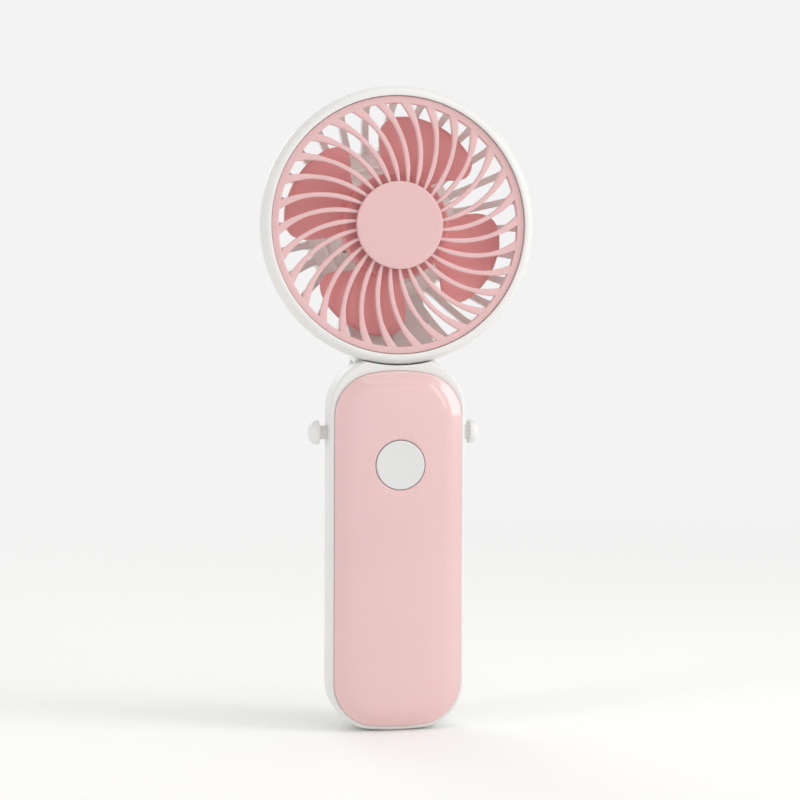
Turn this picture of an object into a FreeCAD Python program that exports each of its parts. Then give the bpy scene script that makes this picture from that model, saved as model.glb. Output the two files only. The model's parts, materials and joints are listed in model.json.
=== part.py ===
import FreeCAD, Part
import math
import os
import Sketcher

# Handheld electric fan: a round head with a swirl grille on a flat handle that holds a
# rechargeable cell. Millimetres. X to the right seen from the front, Y to the back, Z up.
# The origin is on the flat foot, below the handle's widest plane.

Vector = FreeCAD.Vector
Rotation = FreeCAD.Rotation
Placement = FreeCAD.Placement

DIMENSIONS = {
    # handle
    "handle_half_width": (22.4, "half the width of the rear shell"),
    "handle_height": (122.0, "height of the handle before the head's round is cut from it"),
    "handle_top_corner": (16.5, "corner radius at the top of the handle"),
    "handle_foot_corner": (15.5, "corner radius at the foot"),
    "handle_front": (-4.0, "front edge of the rear shell"),
    "handle_back": (15.0, "back of the rear shell"),
    "handle_wall": (2.1, "wall of the rear shell"),
    "handle_back_round": (8.0, "rounding of the back edges"),
    "handle_front_round": (1.1, "rounding of the front edge"),
    "cover_half_width": (21.0, "half the width of the front cover"),
    "cover_low": (1.6, "lower end of the front cover"),
    "cover_high": (117.9, "upper end of the front cover"),
    "cover_corner": (14.2, "corner radius of the front cover"),
    "cover_low_bulge": (90.0, "radius of the gentle curve along its lower end"),
    "cover_high_bulge": (50.0, "radius of the gentle curve along its upper end"),
    "cover_front": (-8.0, "front face of the front cover"),
    "cover_back": (-2.5, "rear edge of the front cover"),
    "cover_wall": (1.6, "wall of the front cover"),
    "cover_round": (3.2, "rounding of the front cover's edge"),
    "fit_gap": (0.2, "gap all round between cover and shell"),
    # push button and switch
    "button_z": (87.5, "height of the button's centre"),
    "button_radius": (7.9, "radius of the button's cap"),
    "button_hole_radius": (8.2, "radius of the hole for the button"),
    "button_flange_radius": (9.2, "radius of the flange that keeps the button in"),
    "button_stem_radius": (2.2, "radius of the stem that pushes the switch"),
    "switch_half_width": (3.1, "half the width of the tact switch"),
    "switch_front": (-2.4, "front of the tact switch"),
    "plunger_front": (-3.9, "front of the switch plunger"),
    "plunger_radius": (1.7, "radius of the switch plunger"),
    # lanyard pegs
    "peg_y": (4.4, "depth of the lanyard pegs"),
    "peg_z": (97.5, "height of the lanyard pegs"),
    "peg_neck_radius": (2.25, "radius of a peg's neck"),
    "peg_neck_length": (2.1, "neck outside the shell"),
    "peg_head_radius": (4.0, "radius of a peg's head"),
    "peg_reach": (6.1, "how far a peg stands out of the shell"),
    "peg_dome": (2.2, "height of the dome on a peg's head"),
    "peg_flange_radius": (3.2, "radius of the flange inside the shell"),
    # hinge between handle and head
    "hinge_y": (7.5, "hinge axis, depth"),
    "hinge_z": (116.5, "hinge axis, height"),
    "barrel_radius": (5.5, "radius of the hinge barrel"),
    "arm_half_width": (13.3, "half the width of the arm and barrel"),
    "slot_half_width": (13.9, "half the width of the slot in the handle"),
    "cheek_half_width": (16.2, "half the width over the hinge cheeks"),
    "slot_clearance": (0.6, "room round the barrel in its slot"),
    "slot_floor_wall": (1.8, "thickness of the wall under the slot"),
    "pin_radius": (1.5, "radius of the hinge pin"),
    "pin_clearance": (0.05, "radial clearance of the pin in the barrel"),
    # inside the handle
    "cell_radius": (9.15, "radius of the rechargeable cell"),
    "cell_length": (64.6, "length of the cell"),
    "cell_low": (6.4, "lower end of the cell"),
    "cell_y": (3.4, "depth of the cell's axis"),
    "board_half_width": (12.0, "half the width of the circuit board"),
    "board_low": (72.0, "lower edge of the board"),
    "board_high": (107.0, "upper edge of the board"),
    "board_front": (1.0, "front face of the board"),
    "board_back": (2.6, "rear face of the board"),
    "board_screw_x": (9.0, "board screws, either side of the middle"),
    "board_screw_z": (103.5, "height of the board screws"),
    "board_screw_radius": (0.7, "radius of a board screw's thread"),
    "board_screw_head_radius": (1.5, "radius of a board screw's head"),
    "board_post_radius": (2.2, "radius of the posts that carry the board"),
    "socket_z": (80.0, "height of the charging socket"),
    "socket_half_width": (4.5, "half the width of the charging socket"),
    "socket_half_height": (1.65, "half the height of the charging socket"),
    "socket_sheet": (0.35, "sheet metal of the charging socket"),
    "light_x": (8.3, "charge light beside the socket"),
    "light_radius": (1.1, "radius of the light pipe"),
    "screw_x": (15.6, "shell screws, either side of the middle"),
    "screw_low_z": (16.0, "height of the lower shell screws"),
    "screw_high_z": (103.5, "height of the upper shell screws"),
    "screw_radius": (1.1, "radius of a shell screw's thread"),
    "screw_head_radius": (2.1, "radius of a shell screw's head"),
    "screw_seat": (11.0, "depth of the shelf under a shell screw's head"),
    "boss_radius": (2.7, "radius of the screw bosses"),
    "boss_split": (1.5, "where the bosses of cover and shell meet"),
    # head
    "head_z": (165.0, "height of the head's centre"),
    "rim_radius": (45.0, "outer radius of the head"),
    "rim_front": (-5.0, "front of the white rim"),
    "rim_seat_radius": (41.75, "radius of the seat that holds the grille"),
    "rim_ledge_radius": (40.2, "inner radius of the ledge behind the grille"),
    "rim_ledge_front": (-1.5, "front of the ledge behind the grille"),
    "head_saddle_gap": (0.4, "gap between head and handle"),
    "band_depth": (4.2, "depth of the rear cage's band"),
    "band_back_radius": (43.4, "outer radius at the back of the band"),
    "band_inner_radius": (41.0, "inner radius of the band"),
    "spigot_radius": (42.4, "radius where bezel and cage locate"),
    "spigot_depth": (2.2, "how far the bezel reaches into the cage"),
    "dome_arc": (68.0, "radius of the dome's long curve"),
    "disc_radius": (27.5, "radius of the disc at the back"),
    "disc_inner_radius": (25.6, "radius where the dome meets the disc inside"),
    "disc_front": (26.6, "front face of the disc"),
    "disc_back": (28.8, "rear face of the disc"),
    "disc_hole_radius": (9.0, "radius of the hole in the disc"),
    "cage_rib_count": (28, "ribs all round; the lowest three merge into the arm"),
    "cage_rib_width": (2.3, "width of a rib"),
    # front grille
    "grille_radius": (41.6, "outer radius of the grille"),
    "grille_ring_radius": (39.3, "inner radius of the grille's ring"),
    "grille_front": (-4.0, "front face of the grille"),
    "grille_hub_radius": (14.6, "radius of the plate behind the cap"),
    "grille_rib_count": (30, "curved ribs"),
    "cap_radius": (14.2, "radius of the round cap"),
    "cap_front": (-5.6, "front of the cap"),
    "cap_spigot_radius": (5.0, "radius of the cap's spigot"),
    # impeller and motor
    "hub_radius": (17.5, "radius of the impeller's hub"),
    "hub_front": (0.5, "front of the hub"),
    "hub_back": (9.0, "rear edge of the hub's wall"),
    "hub_wall": (1.2, "wall of the hub"),
    "blade_tip_radius": (36.4, "radius at the blades' tips"),
    "blade_thickness": (1.3, "thickness of a blade"),
    "blade_count": (4, "blades"),
    "blade_rest_angle": (67.0, "angle of the first blade's middle at rest"),
    "shaft_radius": (1.0, "radius of the motor shaft"),
    "shaft_clearance": (0.03, "radial clearance of the shaft in its bushings"),
    "motor_radius": (12.0, "radius of the motor can"),
    "motor_front": (11.0, "front of the motor can"),
    "motor_back": (25.0, "back of the motor can"),
    "motor_sheet": (1.0, "wall of the motor can"),
    "bushing_radius": (2.6, "outer radius of the bushings"),
    "motor_cup_radius": (13.5, "outer radius of the cup that holds the motor"),
    "motor_cover_radius": (18.0, "radius of the cover at the back"),
    "motor_cover_back": (31.2, "back of that cover"),
    "cover_screw_circle": (15.5, "radius of the circle of its screws"),
    "cover_screw_radius": (0.8, "radius of its screws"),
    "cover_screw_head_radius": (1.4, "radius of their heads"),
    "cover_screw_seat": (29.6, "depth of the shelf under their heads"),
    "lead_radius": (0.5, "radius of a lead"),
    "lead_y": (4.6, "depth of the leads where they cross the hinge"),
    "lead_hole_half_width": (2.4, "half the width of the openings for the leads"),
    "lead_hole_half_depth": (1.0, "half the depth of those openings"),
}

doc = FreeCAD.newDocument("handheld_fan")
sheet = doc.addObject("Spreadsheet::Sheet", "dims")
for row, (alias, (value, meaning)) in enumerate(DIMENSIONS.items(), 1):
    sheet.set(f"A{row}", meaning)
    sheet.set(f"B{row}", str(value))
    sheet.setAlias(f"B{row}", alias)
doc.recompute()


class Size:
    """A length that carries its value and the spreadsheet formula it comes from."""

    def __init__(self, value, formula):
        self.value = float(value)
        self.formula = formula

    def joined(self, other, sign, value):
        return Size(value, f"({self.formula} {sign} {other.formula})")

    def __add__(self, other):
        other = sized(other)
        return self.joined(other, "+", self.value + other.value)

    def __sub__(self, other):
        other = sized(other)
        return self.joined(other, "-", self.value - other.value)

    def __mul__(self, other):
        other = sized(other)
        return self.joined(other, "*", self.value * other.value)

    def __truediv__(self, other):
        other = sized(other)
        return self.joined(other, "/", self.value / other.value)

    def __radd__(self, other):
        return sized(other) + self

    def __rsub__(self, other):
        return sized(other) - self

    def __neg__(self):
        return Size(-self.value, f"(0 - {self.formula})")


def root(size):
    return Size(math.sqrt(size.value), f"sqrt({size.formula})")


def sized(number):
    return number if isinstance(number, Size) else Size(number, repr(float(number)))


class Dimensions:
    """The spreadsheet's cells by alias."""

    def __getattr__(self, alias):
        return Size(sheet.get(alias), f"dims.{alias}")


d = Dimensions()
nodes = []


# ---- primitives and booleans, bound to the sheet -------------------------------------

ALONG = {
    "x": Rotation(Vector(0, 1, 0), 90),
    "y": Rotation(Vector(1, 0, 0), -90),
    "z": Rotation(),
}


def bind(obj, **sizes):
    for prop, size in sizes.items():
        obj.setExpression(prop, sized(size).formula)
    return obj


def place(obj, at, rotation=Rotation()):
    sizes = [sized(c) for c in at]
    obj.Placement = Placement(Vector(*[s.value for s in sizes]), rotation)
    for name, size in zip("xyz", sizes):
        obj.setExpression(f"Placement.Base.{name}", size.formula)
    return obj


def cylinder(radius, start, end, at, along="y"):
    """A cylinder along one axis from start to end; at holds the other two coordinates."""
    obj = doc.addObject("Part::Cylinder", "Cylinder")
    bind(obj, Radius=radius, Height=sized(end) - start)
    base = list(at)
    base.insert("xyz".index(along), start)
    return place(obj, base, ALONG[along])


def box(low, high):
    obj = doc.addObject("Part::Box", "Box")
    lengths = [sized(h) - l for l, h in zip(low, high)]
    bind(obj, Length=lengths[0], Width=lengths[1], Height=lengths[2])
    return place(obj, low)


def fuse(*shapes):
    obj = doc.addObject("Part::MultiFuse", "Fuse")
    obj.Shapes = list(shapes)
    return obj


def cut(base, *tools):
    obj = doc.addObject("Part::Cut", "Cut")
    obj.Base = base
    obj.Tool = tools[0] if len(tools) == 1 else fuse(*tools)
    return obj


def common(first, second):
    obj = doc.addObject("Part::Common", "Common")
    obj.Base = first
    obj.Tool = second
    return obj


def feature(shape, at=(0, 0, 0), rotation=Rotation()):
    """A shape made with Part's own functions, where no parametric feature fits."""
    obj = doc.addObject("Part::Feature", "Feature")
    obj.Shape = shape
    obj.Placement = Placement(Vector(*[sized(c).value for c in at]), rotation)
    return obj


def node(name, obj):
    obj.Label = name
    nodes.append(obj)
    return obj


# ---- sketches and bodies -------------------------------------------------------------


def new_sketch(body, name, role, offset=None):
    sketch = body.newObject("Sketcher::SketchObject", name)
    plane = [f for f in body.Origin.OriginFeatures if f.Role == role][0]
    sketch.AttachmentSupport = (plane, [""])
    sketch.MapMode = "FlatFace"
    if offset is not None:
        sketch.AttachmentOffset = Placement(Vector(0, 0, offset.value), Rotation())
        sketch.setExpression("AttachmentOffset.Base.z", offset.formula)
    return sketch


def constrain(sketch, kind, *arguments):
    """Adds a dimension whose last argument is a Size, bound to the sheet."""
    size = sized(arguments[-1])
    index = sketch.addConstraint(Sketcher.Constraint(kind, *arguments[:-1], size.value))
    sketch.setExpression(f"Constraints[{index}]", size.formula)


def arc_geometry(start, end, radius, bulge):
    """The minor arc from start to end; bulge is 'left' or 'right' of the way there.

    Returns the arc, which a sketch keeps anticlockwise, and which of its two ends is start.
    """
    chord = end - start
    rise = math.sqrt(radius**2 - (chord.Length / 2) ** 2)
    left = Vector(-chord.y, chord.x, 0).normalize()
    side = -1 if bulge == "left" else 1
    centre = (start + end) * 0.5 + left * (rise * side)
    first, last = (end, start) if bulge == "left" else (start, end)
    begin = math.atan2(first.y - centre.y, first.x - centre.x)
    finish = math.atan2(last.y - centre.y, last.x - centre.x)
    if finish < begin:
        finish += 2 * math.pi
    circle = Part.Circle(centre, Vector(0, 0, 1), radius)
    return Part.ArcOfCircle(circle, begin, finish), (2 if bulge == "left" else 1)


def draw_outline(sketch, corners):
    """A closed outline. A corner is (x, y), or (x, y, radius, bulge) when an arc leads to it."""
    places = [Vector(sized(c[0]).value, sized(c[1]).value, 0) for c in corners]
    ends = []
    for i, corner in enumerate(corners):
        start, end = places[i - 1], places[i]
        if len(corner) == 2:
            index = sketch.addGeometry(Part.LineSegment(start, end), False)
            ends.append((index, 1, 2))
            continue
        arc, first = arc_geometry(start, end, sized(corner[2]).value, corner[3])
        index = sketch.addGeometry(arc, False)
        ends.append((index, first, 3 - first))
        constrain(sketch, "Radius", index, corner[2])
    for i, corner in enumerate(corners):
        index, _, last = ends[i]
        after, first, _ = ends[(i + 1) % len(corners)]
        sketch.addConstraint(Sketcher.Constraint("Coincident", index, last, after, first))
        constrain(sketch, "DistanceX", -1, 1, index, last, corner[0])
        constrain(sketch, "DistanceY", -1, 1, index, last, corner[1])


def revolved(name, corners, at=(0, 0, 0), rotation=Rotation()):
    """A body turned about its own Y axis from an outline of (radius, depth) corners."""
    body = doc.addObject("PartDesign::Body", name)
    sketch = new_sketch(body, name + "_profile", "XY_Plane")
    draw_outline(sketch, corners)
    turn = body.newObject("PartDesign::Revolution", name + "_turn")
    turn.Profile = sketch
    turn.ReferenceAxis = (sketch, ["V_Axis"])
    turn.Angle = 360
    return place(body, at, rotation)


def rounded_end(half_width, end, rounding, bulge, inward):
    """Where one end of a rounded rectangle meets its corners, and its corners meet the sides.

    Returns the x and z of the first place and the z of the second. The end is straight, or
    an arc of radius bulge that is tangent to both corners; inward is +1 or -1 along z.
    """
    reach = half_width - rounding
    if bulge is None:
        return reach, end, end + rounding * inward
    between = bulge - rounding
    drop = root(between * between - reach * reach)
    stretch = bulge / between
    return reach * stretch, end + (bulge - drop * stretch) * inward, end + (bulge - drop) * inward


def rounded_corners(half_width, low, high, low_round, high_round, low_bulge=None, high_bulge=None):
    """A rectangle with rounded corners and, if asked, curved ends, anticlockwise."""
    low_x, low_z, low_side = rounded_end(half_width, low, low_round, low_bulge, 1.0)
    high_x, high_z, high_side = rounded_end(half_width, high, high_round, high_bulge, -1.0)
    low_end = (low_x, low_z) if low_bulge is None else (low_x, low_z, low_bulge, "right")
    high_end = (-high_x, high_z) if high_bulge is None else (-high_x, high_z, high_bulge, "right")
    return [
        (-low_x, low_z, low_round, "right"),
        low_end,
        (half_width, low_side, low_round, "right"),
        (half_width, high_side),
        (high_x, high_z, high_round, "right"),
        high_end,
        (-half_width, high_side, high_round, "right"),
        (-half_width, low_side),
    ]


def cover_outline(out):
    """The front cover's outline, moved outwards by this much."""
    corner = d.cover_corner + out
    return rounded_corners(d.cover_half_width + out, d.cover_low - out, d.cover_high + out,
                           corner, corner, d.cover_low_bulge + out, d.cover_high_bulge + out)


def slab(name, corners, front, back):
    """A body padded from an outline in the XZ plane, between two depths."""
    body = doc.addObject("PartDesign::Body", name)
    sketch = new_sketch(body, name + "_outline", "XZ_Plane", -sized(front))
    draw_outline(sketch, corners)
    pad = body.newObject("PartDesign::Pad", name + "_pad")
    pad.Profile = sketch
    pad.Reversed = True
    bind(pad, Length=sized(back) - front)
    return body


def round_edges(body, depth, radius):
    """Rounds every edge of the body's tip that lies in the plane at this depth."""
    doc.recompute()
    base = body.Tip
    names = []
    for i, edge in enumerate(base.Shape.Edges, 1):
        bounds = edge.BoundBox
        if abs(bounds.YMin - depth.value) < 1e-4 and abs(bounds.YMax - depth.value) < 1e-4:
            names.append(f"Edge{i}")
    fillet = body.newObject("PartDesign::Fillet", body.Name + "_round")
    fillet.Base = (base, names)
    bind(fillet, Radius=radius)
    return body


# ---- wires ---------------------------------------------------------------------------


def lead_path(points, bend):
    """Straight runs joined by tangent arcs of radius bend."""
    places = [Vector(*p) for p in points]
    edges = []
    begin = places[0]
    for before, corner, after in zip(places, places[1:], places[2:]):
        back = (before - corner).normalize()
        onward = (after - corner).normalize()
        half = back.getAngle(onward) / 2
        reach = bend / math.tan(half)
        middle = (back + onward).normalize() * (bend / math.sin(half) - bend)
        enter = corner + back * reach
        leave = corner + onward * reach
        edges.append(Part.LineSegment(begin, enter).toShape())
        edges.append(Part.Arc(enter, corner + middle, leave).toShape())
        begin = leave
    edges.append(Part.LineSegment(begin, places[-1]).toShape())
    return Part.Wire(edges)


def lead(points, radius, bend=1.2):
    path = lead_path(points, bend)
    start = Vector(*points[0])
    along = Vector(*points[1]) - start
    ring = Part.Wire([Part.Circle(start, along, radius).toShape()])
    return path.makePipeShell([ring], True, True)


# ---- handle --------------------------------------------------------------------------

SIDES = (sized(-1.0), sized(1.0))
SCREW_PLACES = [(side * d.screw_x, z) for side in SIDES for z in (d.screw_low_z, d.screw_high_z)]
BOARD_SCREW_PLACES = [(side * d.board_screw_x, d.board_screw_z) for side in SIDES]
BEYOND = 30.0


def screw(x, z, back, seat, tip, head_radius, thread_radius):
    """A pan head screw along Y with a cross recess, driven from the back."""
    head = cylinder(head_radius, seat, back, (x, z))
    thread = cylinder(thread_radius, tip, seat, (x, z))
    arm = sized(head_radius) * 0.6
    slim = 0.25
    deep = sized(back) - 0.7
    across = box((x - arm, deep, z - slim), (x + arm, sized(back) + 1, z + slim))
    upright = box((x - slim, deep, z - arm), (x + slim, sized(back) + 1, z + arm))
    return cut(fuse(head, thread), across, upright)


def make_rear_shell():
    outer = slab(
        "shell_outer",
        rounded_corners(d.handle_half_width, sized(0.0), d.handle_height,
                        d.handle_foot_corner, d.handle_top_corner),
        d.handle_front, d.handle_back)
    round_edges(outer, d.handle_back, d.handle_back_round)
    round_edges(outer, d.handle_front, d.handle_front_round)
    inner_back = d.handle_back - d.handle_wall
    cavity = slab("shell_cavity", cover_outline(d.fit_gap), d.handle_front - 1, inner_back)
    round_edges(cavity, inner_back, d.handle_back_round - d.handle_wall)
    slot_floor = d.hinge_z - d.barrel_radius - d.slot_clearance
    slot_front = d.hinge_y - d.barrel_radius - d.slot_clearance
    block = box((-d.cheek_half_width, d.cover_back, slot_floor - d.slot_floor_wall),
                (d.cheek_half_width, d.handle_back, d.handle_height))
    bosses = [cylinder(d.boss_radius, d.boss_split + 0.1, d.handle_back, spot)
              for spot in SCREW_PLACES]
    posts = [cylinder(d.board_post_radius, d.board_back, d.handle_back, spot)
             for spot in BOARD_SCREW_PLACES]
    hollow = cut(cavity, block, *bosses, *posts)
    slot = box((-d.slot_half_width, slot_front, slot_floor),
               (d.slot_half_width, d.handle_back + BEYOND, d.handle_height + BEYOND))
    saddle = cylinder(d.rim_radius + d.head_saddle_gap, -BEYOND, BEYOND, (0.0, d.head_z))
    pin_hole = cylinder(d.pin_radius, -d.cheek_half_width, d.cheek_half_width,
                        (d.hinge_y, d.hinge_z), "x")
    peg_hole = cylinder(d.peg_neck_radius, -BEYOND, BEYOND, (d.peg_y, d.peg_z), "x")
    lead_hole = box((-d.lead_hole_half_width, d.lead_y - d.lead_hole_half_depth,
                     slot_floor - d.slot_floor_wall - 1),
                    (d.lead_hole_half_width, d.lead_y + d.lead_hole_half_depth, slot_floor + 1))
    tools = [hollow, slot, saddle, pin_hole, peg_hole, lead_hole]
    clear = d.fit_gap
    for spot in SCREW_PLACES:
        tools.append(cylinder(d.screw_radius + clear, 0.0, BEYOND, spot))
        tools.append(cylinder(d.screw_head_radius + clear, d.screw_seat, BEYOND, spot))
    for spot in BOARD_SCREW_PLACES:
        tools.append(cylinder(d.board_screw_radius + 0.05, 0.0, d.board_back + 5, spot))
    window_front = d.board_back + 6
    half_width = d.socket_half_width + clear
    half_height = d.socket_half_height + clear
    tools.append(box((-half_width, window_front, d.socket_z - half_height),
                     (half_width, BEYOND, d.socket_z + half_height)))
    tools.append(cylinder(d.light_radius + 0.05, window_front, BEYOND, (d.light_x, d.socket_z)))
    node("rear_shell", cut(outer, *tools))


def make_front_cover():
    outer = slab("cover_outer", cover_outline(sized(0.0)), d.cover_front, d.cover_back)
    round_edges(outer, d.cover_front, d.cover_round)
    inner_front = d.cover_front + d.cover_wall
    cavity = slab("cover_cavity", cover_outline(-d.cover_wall), inner_front, d.cover_back + 1)
    round_edges(cavity, inner_front, d.cover_round - d.cover_wall)
    bosses = [cylinder(d.boss_radius, inner_front - 0.4, d.boss_split, spot) for spot in SCREW_PLACES]
    holes = [cylinder(d.screw_radius + 0.05, inner_front + 1.4, d.boss_split + 1, spot)
             for spot in SCREW_PLACES]
    button_hole = cylinder(d.button_hole_radius, -BEYOND, BEYOND, (0.0, d.button_z))
    node("front_cover", cut(fuse(cut(outer, cavity), *bosses), button_hole, *holes))


def make_button():
    front = d.cover_front
    flange_back = front + 2.6
    flange_front = flange_back - 0.8
    stem_back = d.plunger_front - 0.05
    zero = sized(0.0)
    edge = 0.5
    body = revolved("power_button", [
        (zero, front),
        (d.button_radius - edge, front),
        (d.button_radius, front + edge, sized(edge), "right"),
        (d.button_radius, flange_front),
        (d.button_flange_radius, flange_front),
        (d.button_flange_radius, flange_back),
        (d.button_stem_radius, flange_back),
        (d.button_stem_radius, stem_back),
        (zero, stem_back),
    ], (0.0, 0.0, d.button_z))
    node("power_button", body)


def make_switch():
    case = box((-d.switch_half_width, d.switch_front, d.button_z - d.switch_half_width),
               (d.switch_half_width, d.board_front, d.button_z + d.switch_half_width))
    well = cylinder(d.plunger_radius + 0.1, d.switch_front - 1, d.switch_front + 1.2, (0.0, d.button_z))
    node("tact_switch", cut(case, well))
    node("switch_plunger", cylinder(d.plunger_radius, d.plunger_front, d.switch_front + 0.5,
                                    (0.0, d.button_z)))


def make_pegs():
    inside = d.cover_half_width + d.fit_gap - d.handle_half_width
    flange = inside - 1.2
    shoulder = 0.6
    dome = d.peg_dome.value
    dome_radius = sized((d.peg_head_radius.value**2 + dome**2) / (2 * dome))
    zero = sized(0.0)
    for name, side in (("lanyard_peg_left", -1), ("lanyard_peg_right", 1)):
        turned = Rotation(Vector(0, 0, 1), -90 * side)
        node(name, revolved(name, [
            (zero, flange),
            (d.peg_flange_radius, flange),
            (d.peg_flange_radius, inside),
            (d.peg_neck_radius, inside),
            (d.peg_neck_radius, d.peg_neck_length),
            (d.peg_head_radius - shoulder, d.peg_neck_length),
            (d.peg_head_radius, d.peg_neck_length + shoulder),
            (d.peg_head_radius, d.peg_reach - dome),
            (zero, d.peg_reach, dome_radius, "right"),
        ], (sized(float(side)) * d.handle_half_width, d.peg_y, d.peg_z), turned))


def make_hinge():
    reach = d.cheek_half_width
    node("hinge_pin", cylinder(d.pin_radius, -reach, reach, (d.hinge_y, d.hinge_z), "x"))
    washers = []
    thin = 0.05
    for low, high in ((-d.slot_half_width + thin, -d.arm_half_width - thin),
                      (d.arm_half_width + thin, d.slot_half_width - thin)):
        ring = cylinder(d.pin_radius * 3, low, high, (d.hinge_y, d.hinge_z), "x")
        hole = cylinder(d.pin_radius + d.pin_clearance, low - 1, high + 1, (d.hinge_y, d.hinge_z), "x")
        washers.append(cut(ring, hole))
    node("hinge_washers", fuse(*washers))


def make_battery():
    top = d.cell_low + d.cell_length
    nub_top = top + 0.5
    can = cylinder(d.cell_radius, d.cell_low, top, (0.0, d.cell_y), "z")
    nub = cylinder(2.6, top, nub_top, (0.0, d.cell_y), "z")
    node("battery_cell", fuse(can, nub))
    tab = 0.2
    half = 3.5
    low_tab = box((-half, d.cell_y - half, d.cell_low - tab), (half, d.cell_y + half, d.cell_low))
    high_tab = box((-half, d.cell_y - half, nub_top), (half, d.cell_y + half, nub_top + tab))
    node("battery_tabs", fuse(low_tab, high_tab))
    radius = 0.6
    slack = 0.05
    y = d.cell_y.value
    low = d.cell_low.value - tab - radius - slack
    high = nub_top.value + tab + slack
    beside = d.cell_radius.value + radius + 0.3
    board = d.board_low.value + 2.0
    minus = lead([(half - 1, y, low), (beside, y, low), (beside, y, board)], radius)
    plus = lead([(-half + 1, y, high), (-half + 1, y, board)], radius)
    node("battery_leads", feature(Part.makeCompound([minus, plus])))


def make_board():
    plate = box((-d.board_half_width, d.board_front, d.board_low),
                (d.board_half_width, d.board_back, d.board_high))
    holes = [cylinder(d.board_screw_radius + 0.15, 0.0, d.board_back + 1, spot)
             for spot in BOARD_SCREW_PLACES]
    node("circuit_board", cut(plate, *holes))
    back = d.board_back
    chips = []
    # width, height above the board, length, then the middle in x and z
    for width, rise, length, x, z in (
        (4.0, 1.4, 5.0, -6.0, 94.0),
        (5.0, 3.0, 5.0, 6.0, 92.5),
        (3.0, 1.2, 3.0, 0.0, 97.0),
        (1.2, 0.6, 2.0, -2.0, 89.0),
        (1.2, 0.6, 2.0, 0.5, 89.0),
        (2.0, 0.9, 1.6, 8.3, 80.0),
    ):
        chips.append(box((x - width / 2, back, z - length / 2),
                         (x + width / 2, back + rise, z + length / 2)))
    node("board_components", fuse(*chips))
    screws = []
    for spot in BOARD_SCREW_PLACES:
        head = cylinder(d.board_screw_head_radius, d.board_front - 0.9, d.board_front, spot)
        thread = cylinder(d.board_screw_radius, d.board_front, d.board_back + 4, spot)
        screws.append(fuse(head, thread))
    node("board_screws", fuse(*screws))


def make_socket():
    low, high = d.socket_z - d.socket_half_height, d.socket_z + d.socket_half_height
    mouth = d.handle_back - 0.3
    floor = d.board_back + 4.9
    can = box((-d.socket_half_width, d.board_back, low), (d.socket_half_width, mouth, high))
    well = box((-d.socket_half_width + d.socket_sheet, floor, low + d.socket_sheet),
               (d.socket_half_width - d.socket_sheet, mouth + 1, high - d.socket_sheet))
    half_width, half_height = 3.3, 0.35
    tongue = box((-half_width, floor - 0.5, d.socket_z - half_height),
                 (half_width, mouth - 0.7, d.socket_z + half_height))
    node("charging_socket", fuse(cut(can, well), tongue))
    node("light_pipe", cylinder(d.light_radius, d.board_back + 1.0, d.handle_back,
                                (d.light_x, d.socket_z)))


def make_shell_screws():
    tip = d.cover_front + d.cover_wall + 1.6
    node("shell_screws", fuse(*[
        screw(x, z, d.screw_seat + 1.6, d.screw_seat, tip, d.screw_head_radius, d.screw_radius)
        for x, z in SCREW_PLACES]))


# ---- head ----------------------------------------------------------------------------

HEAD = (0.0, 0.0, d.head_z)
LEAD_X = (-1.3, 1.3)
COVER_SCREW_ANGLES = (90.0, 210.0, 330.0)


def around_head(radius, degrees):
    """The x and z of a point on a circle about the head's axis."""
    turn = math.radians(degrees)
    return radius * math.cos(turn), radius * math.sin(turn) + d.head_z.value


def make_front_bezel():
    back = sized(0.0)
    node("front_bezel", revolved("front_bezel", [
        (d.rim_ledge_radius, back),
        (d.rim_ledge_radius, d.rim_ledge_front),
        (d.rim_seat_radius, d.rim_ledge_front),
        (d.rim_seat_radius, d.rim_front + 0.3),
        (d.rim_seat_radius + 0.3, d.rim_front),
        (d.rim_seat_radius + 0.9, d.rim_front),
        (d.rim_radius, d.rim_front + 3.2, sized(3.6), "left"),
        (d.rim_radius, back),
        (d.spigot_radius - 0.1, back),
        (d.spigot_radius - 0.1, d.spigot_depth - 0.1),
        (d.band_inner_radius, d.spigot_depth - 0.1),
        (d.band_inner_radius, back),
    ], HEAD))


def rib_angle(reach):
    """Degrees a grille rib has turned, where reach is the radius over the grille's radius."""
    out = reach - 0.38
    return -4.3 + 22.9 * out + 19.7 * out**2


def rib_width(reach):
    """Width of a grille rib across: slim at the hub, even, and flared at the ring."""
    return min(1.65, 1.2 + 5.6 * (reach - 0.38)) + 9.2 * max(0.0, reach - 0.765)


def polar(radius, degrees, depth=0.0):
    turn = math.radians(degrees)
    return Vector(radius * math.cos(turn), depth, radius * math.sin(turn))


def disc(radius, front, back):
    return Part.makeCylinder(radius, back - front, Vector(0, front, 0), Vector(0, 1, 0))


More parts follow.
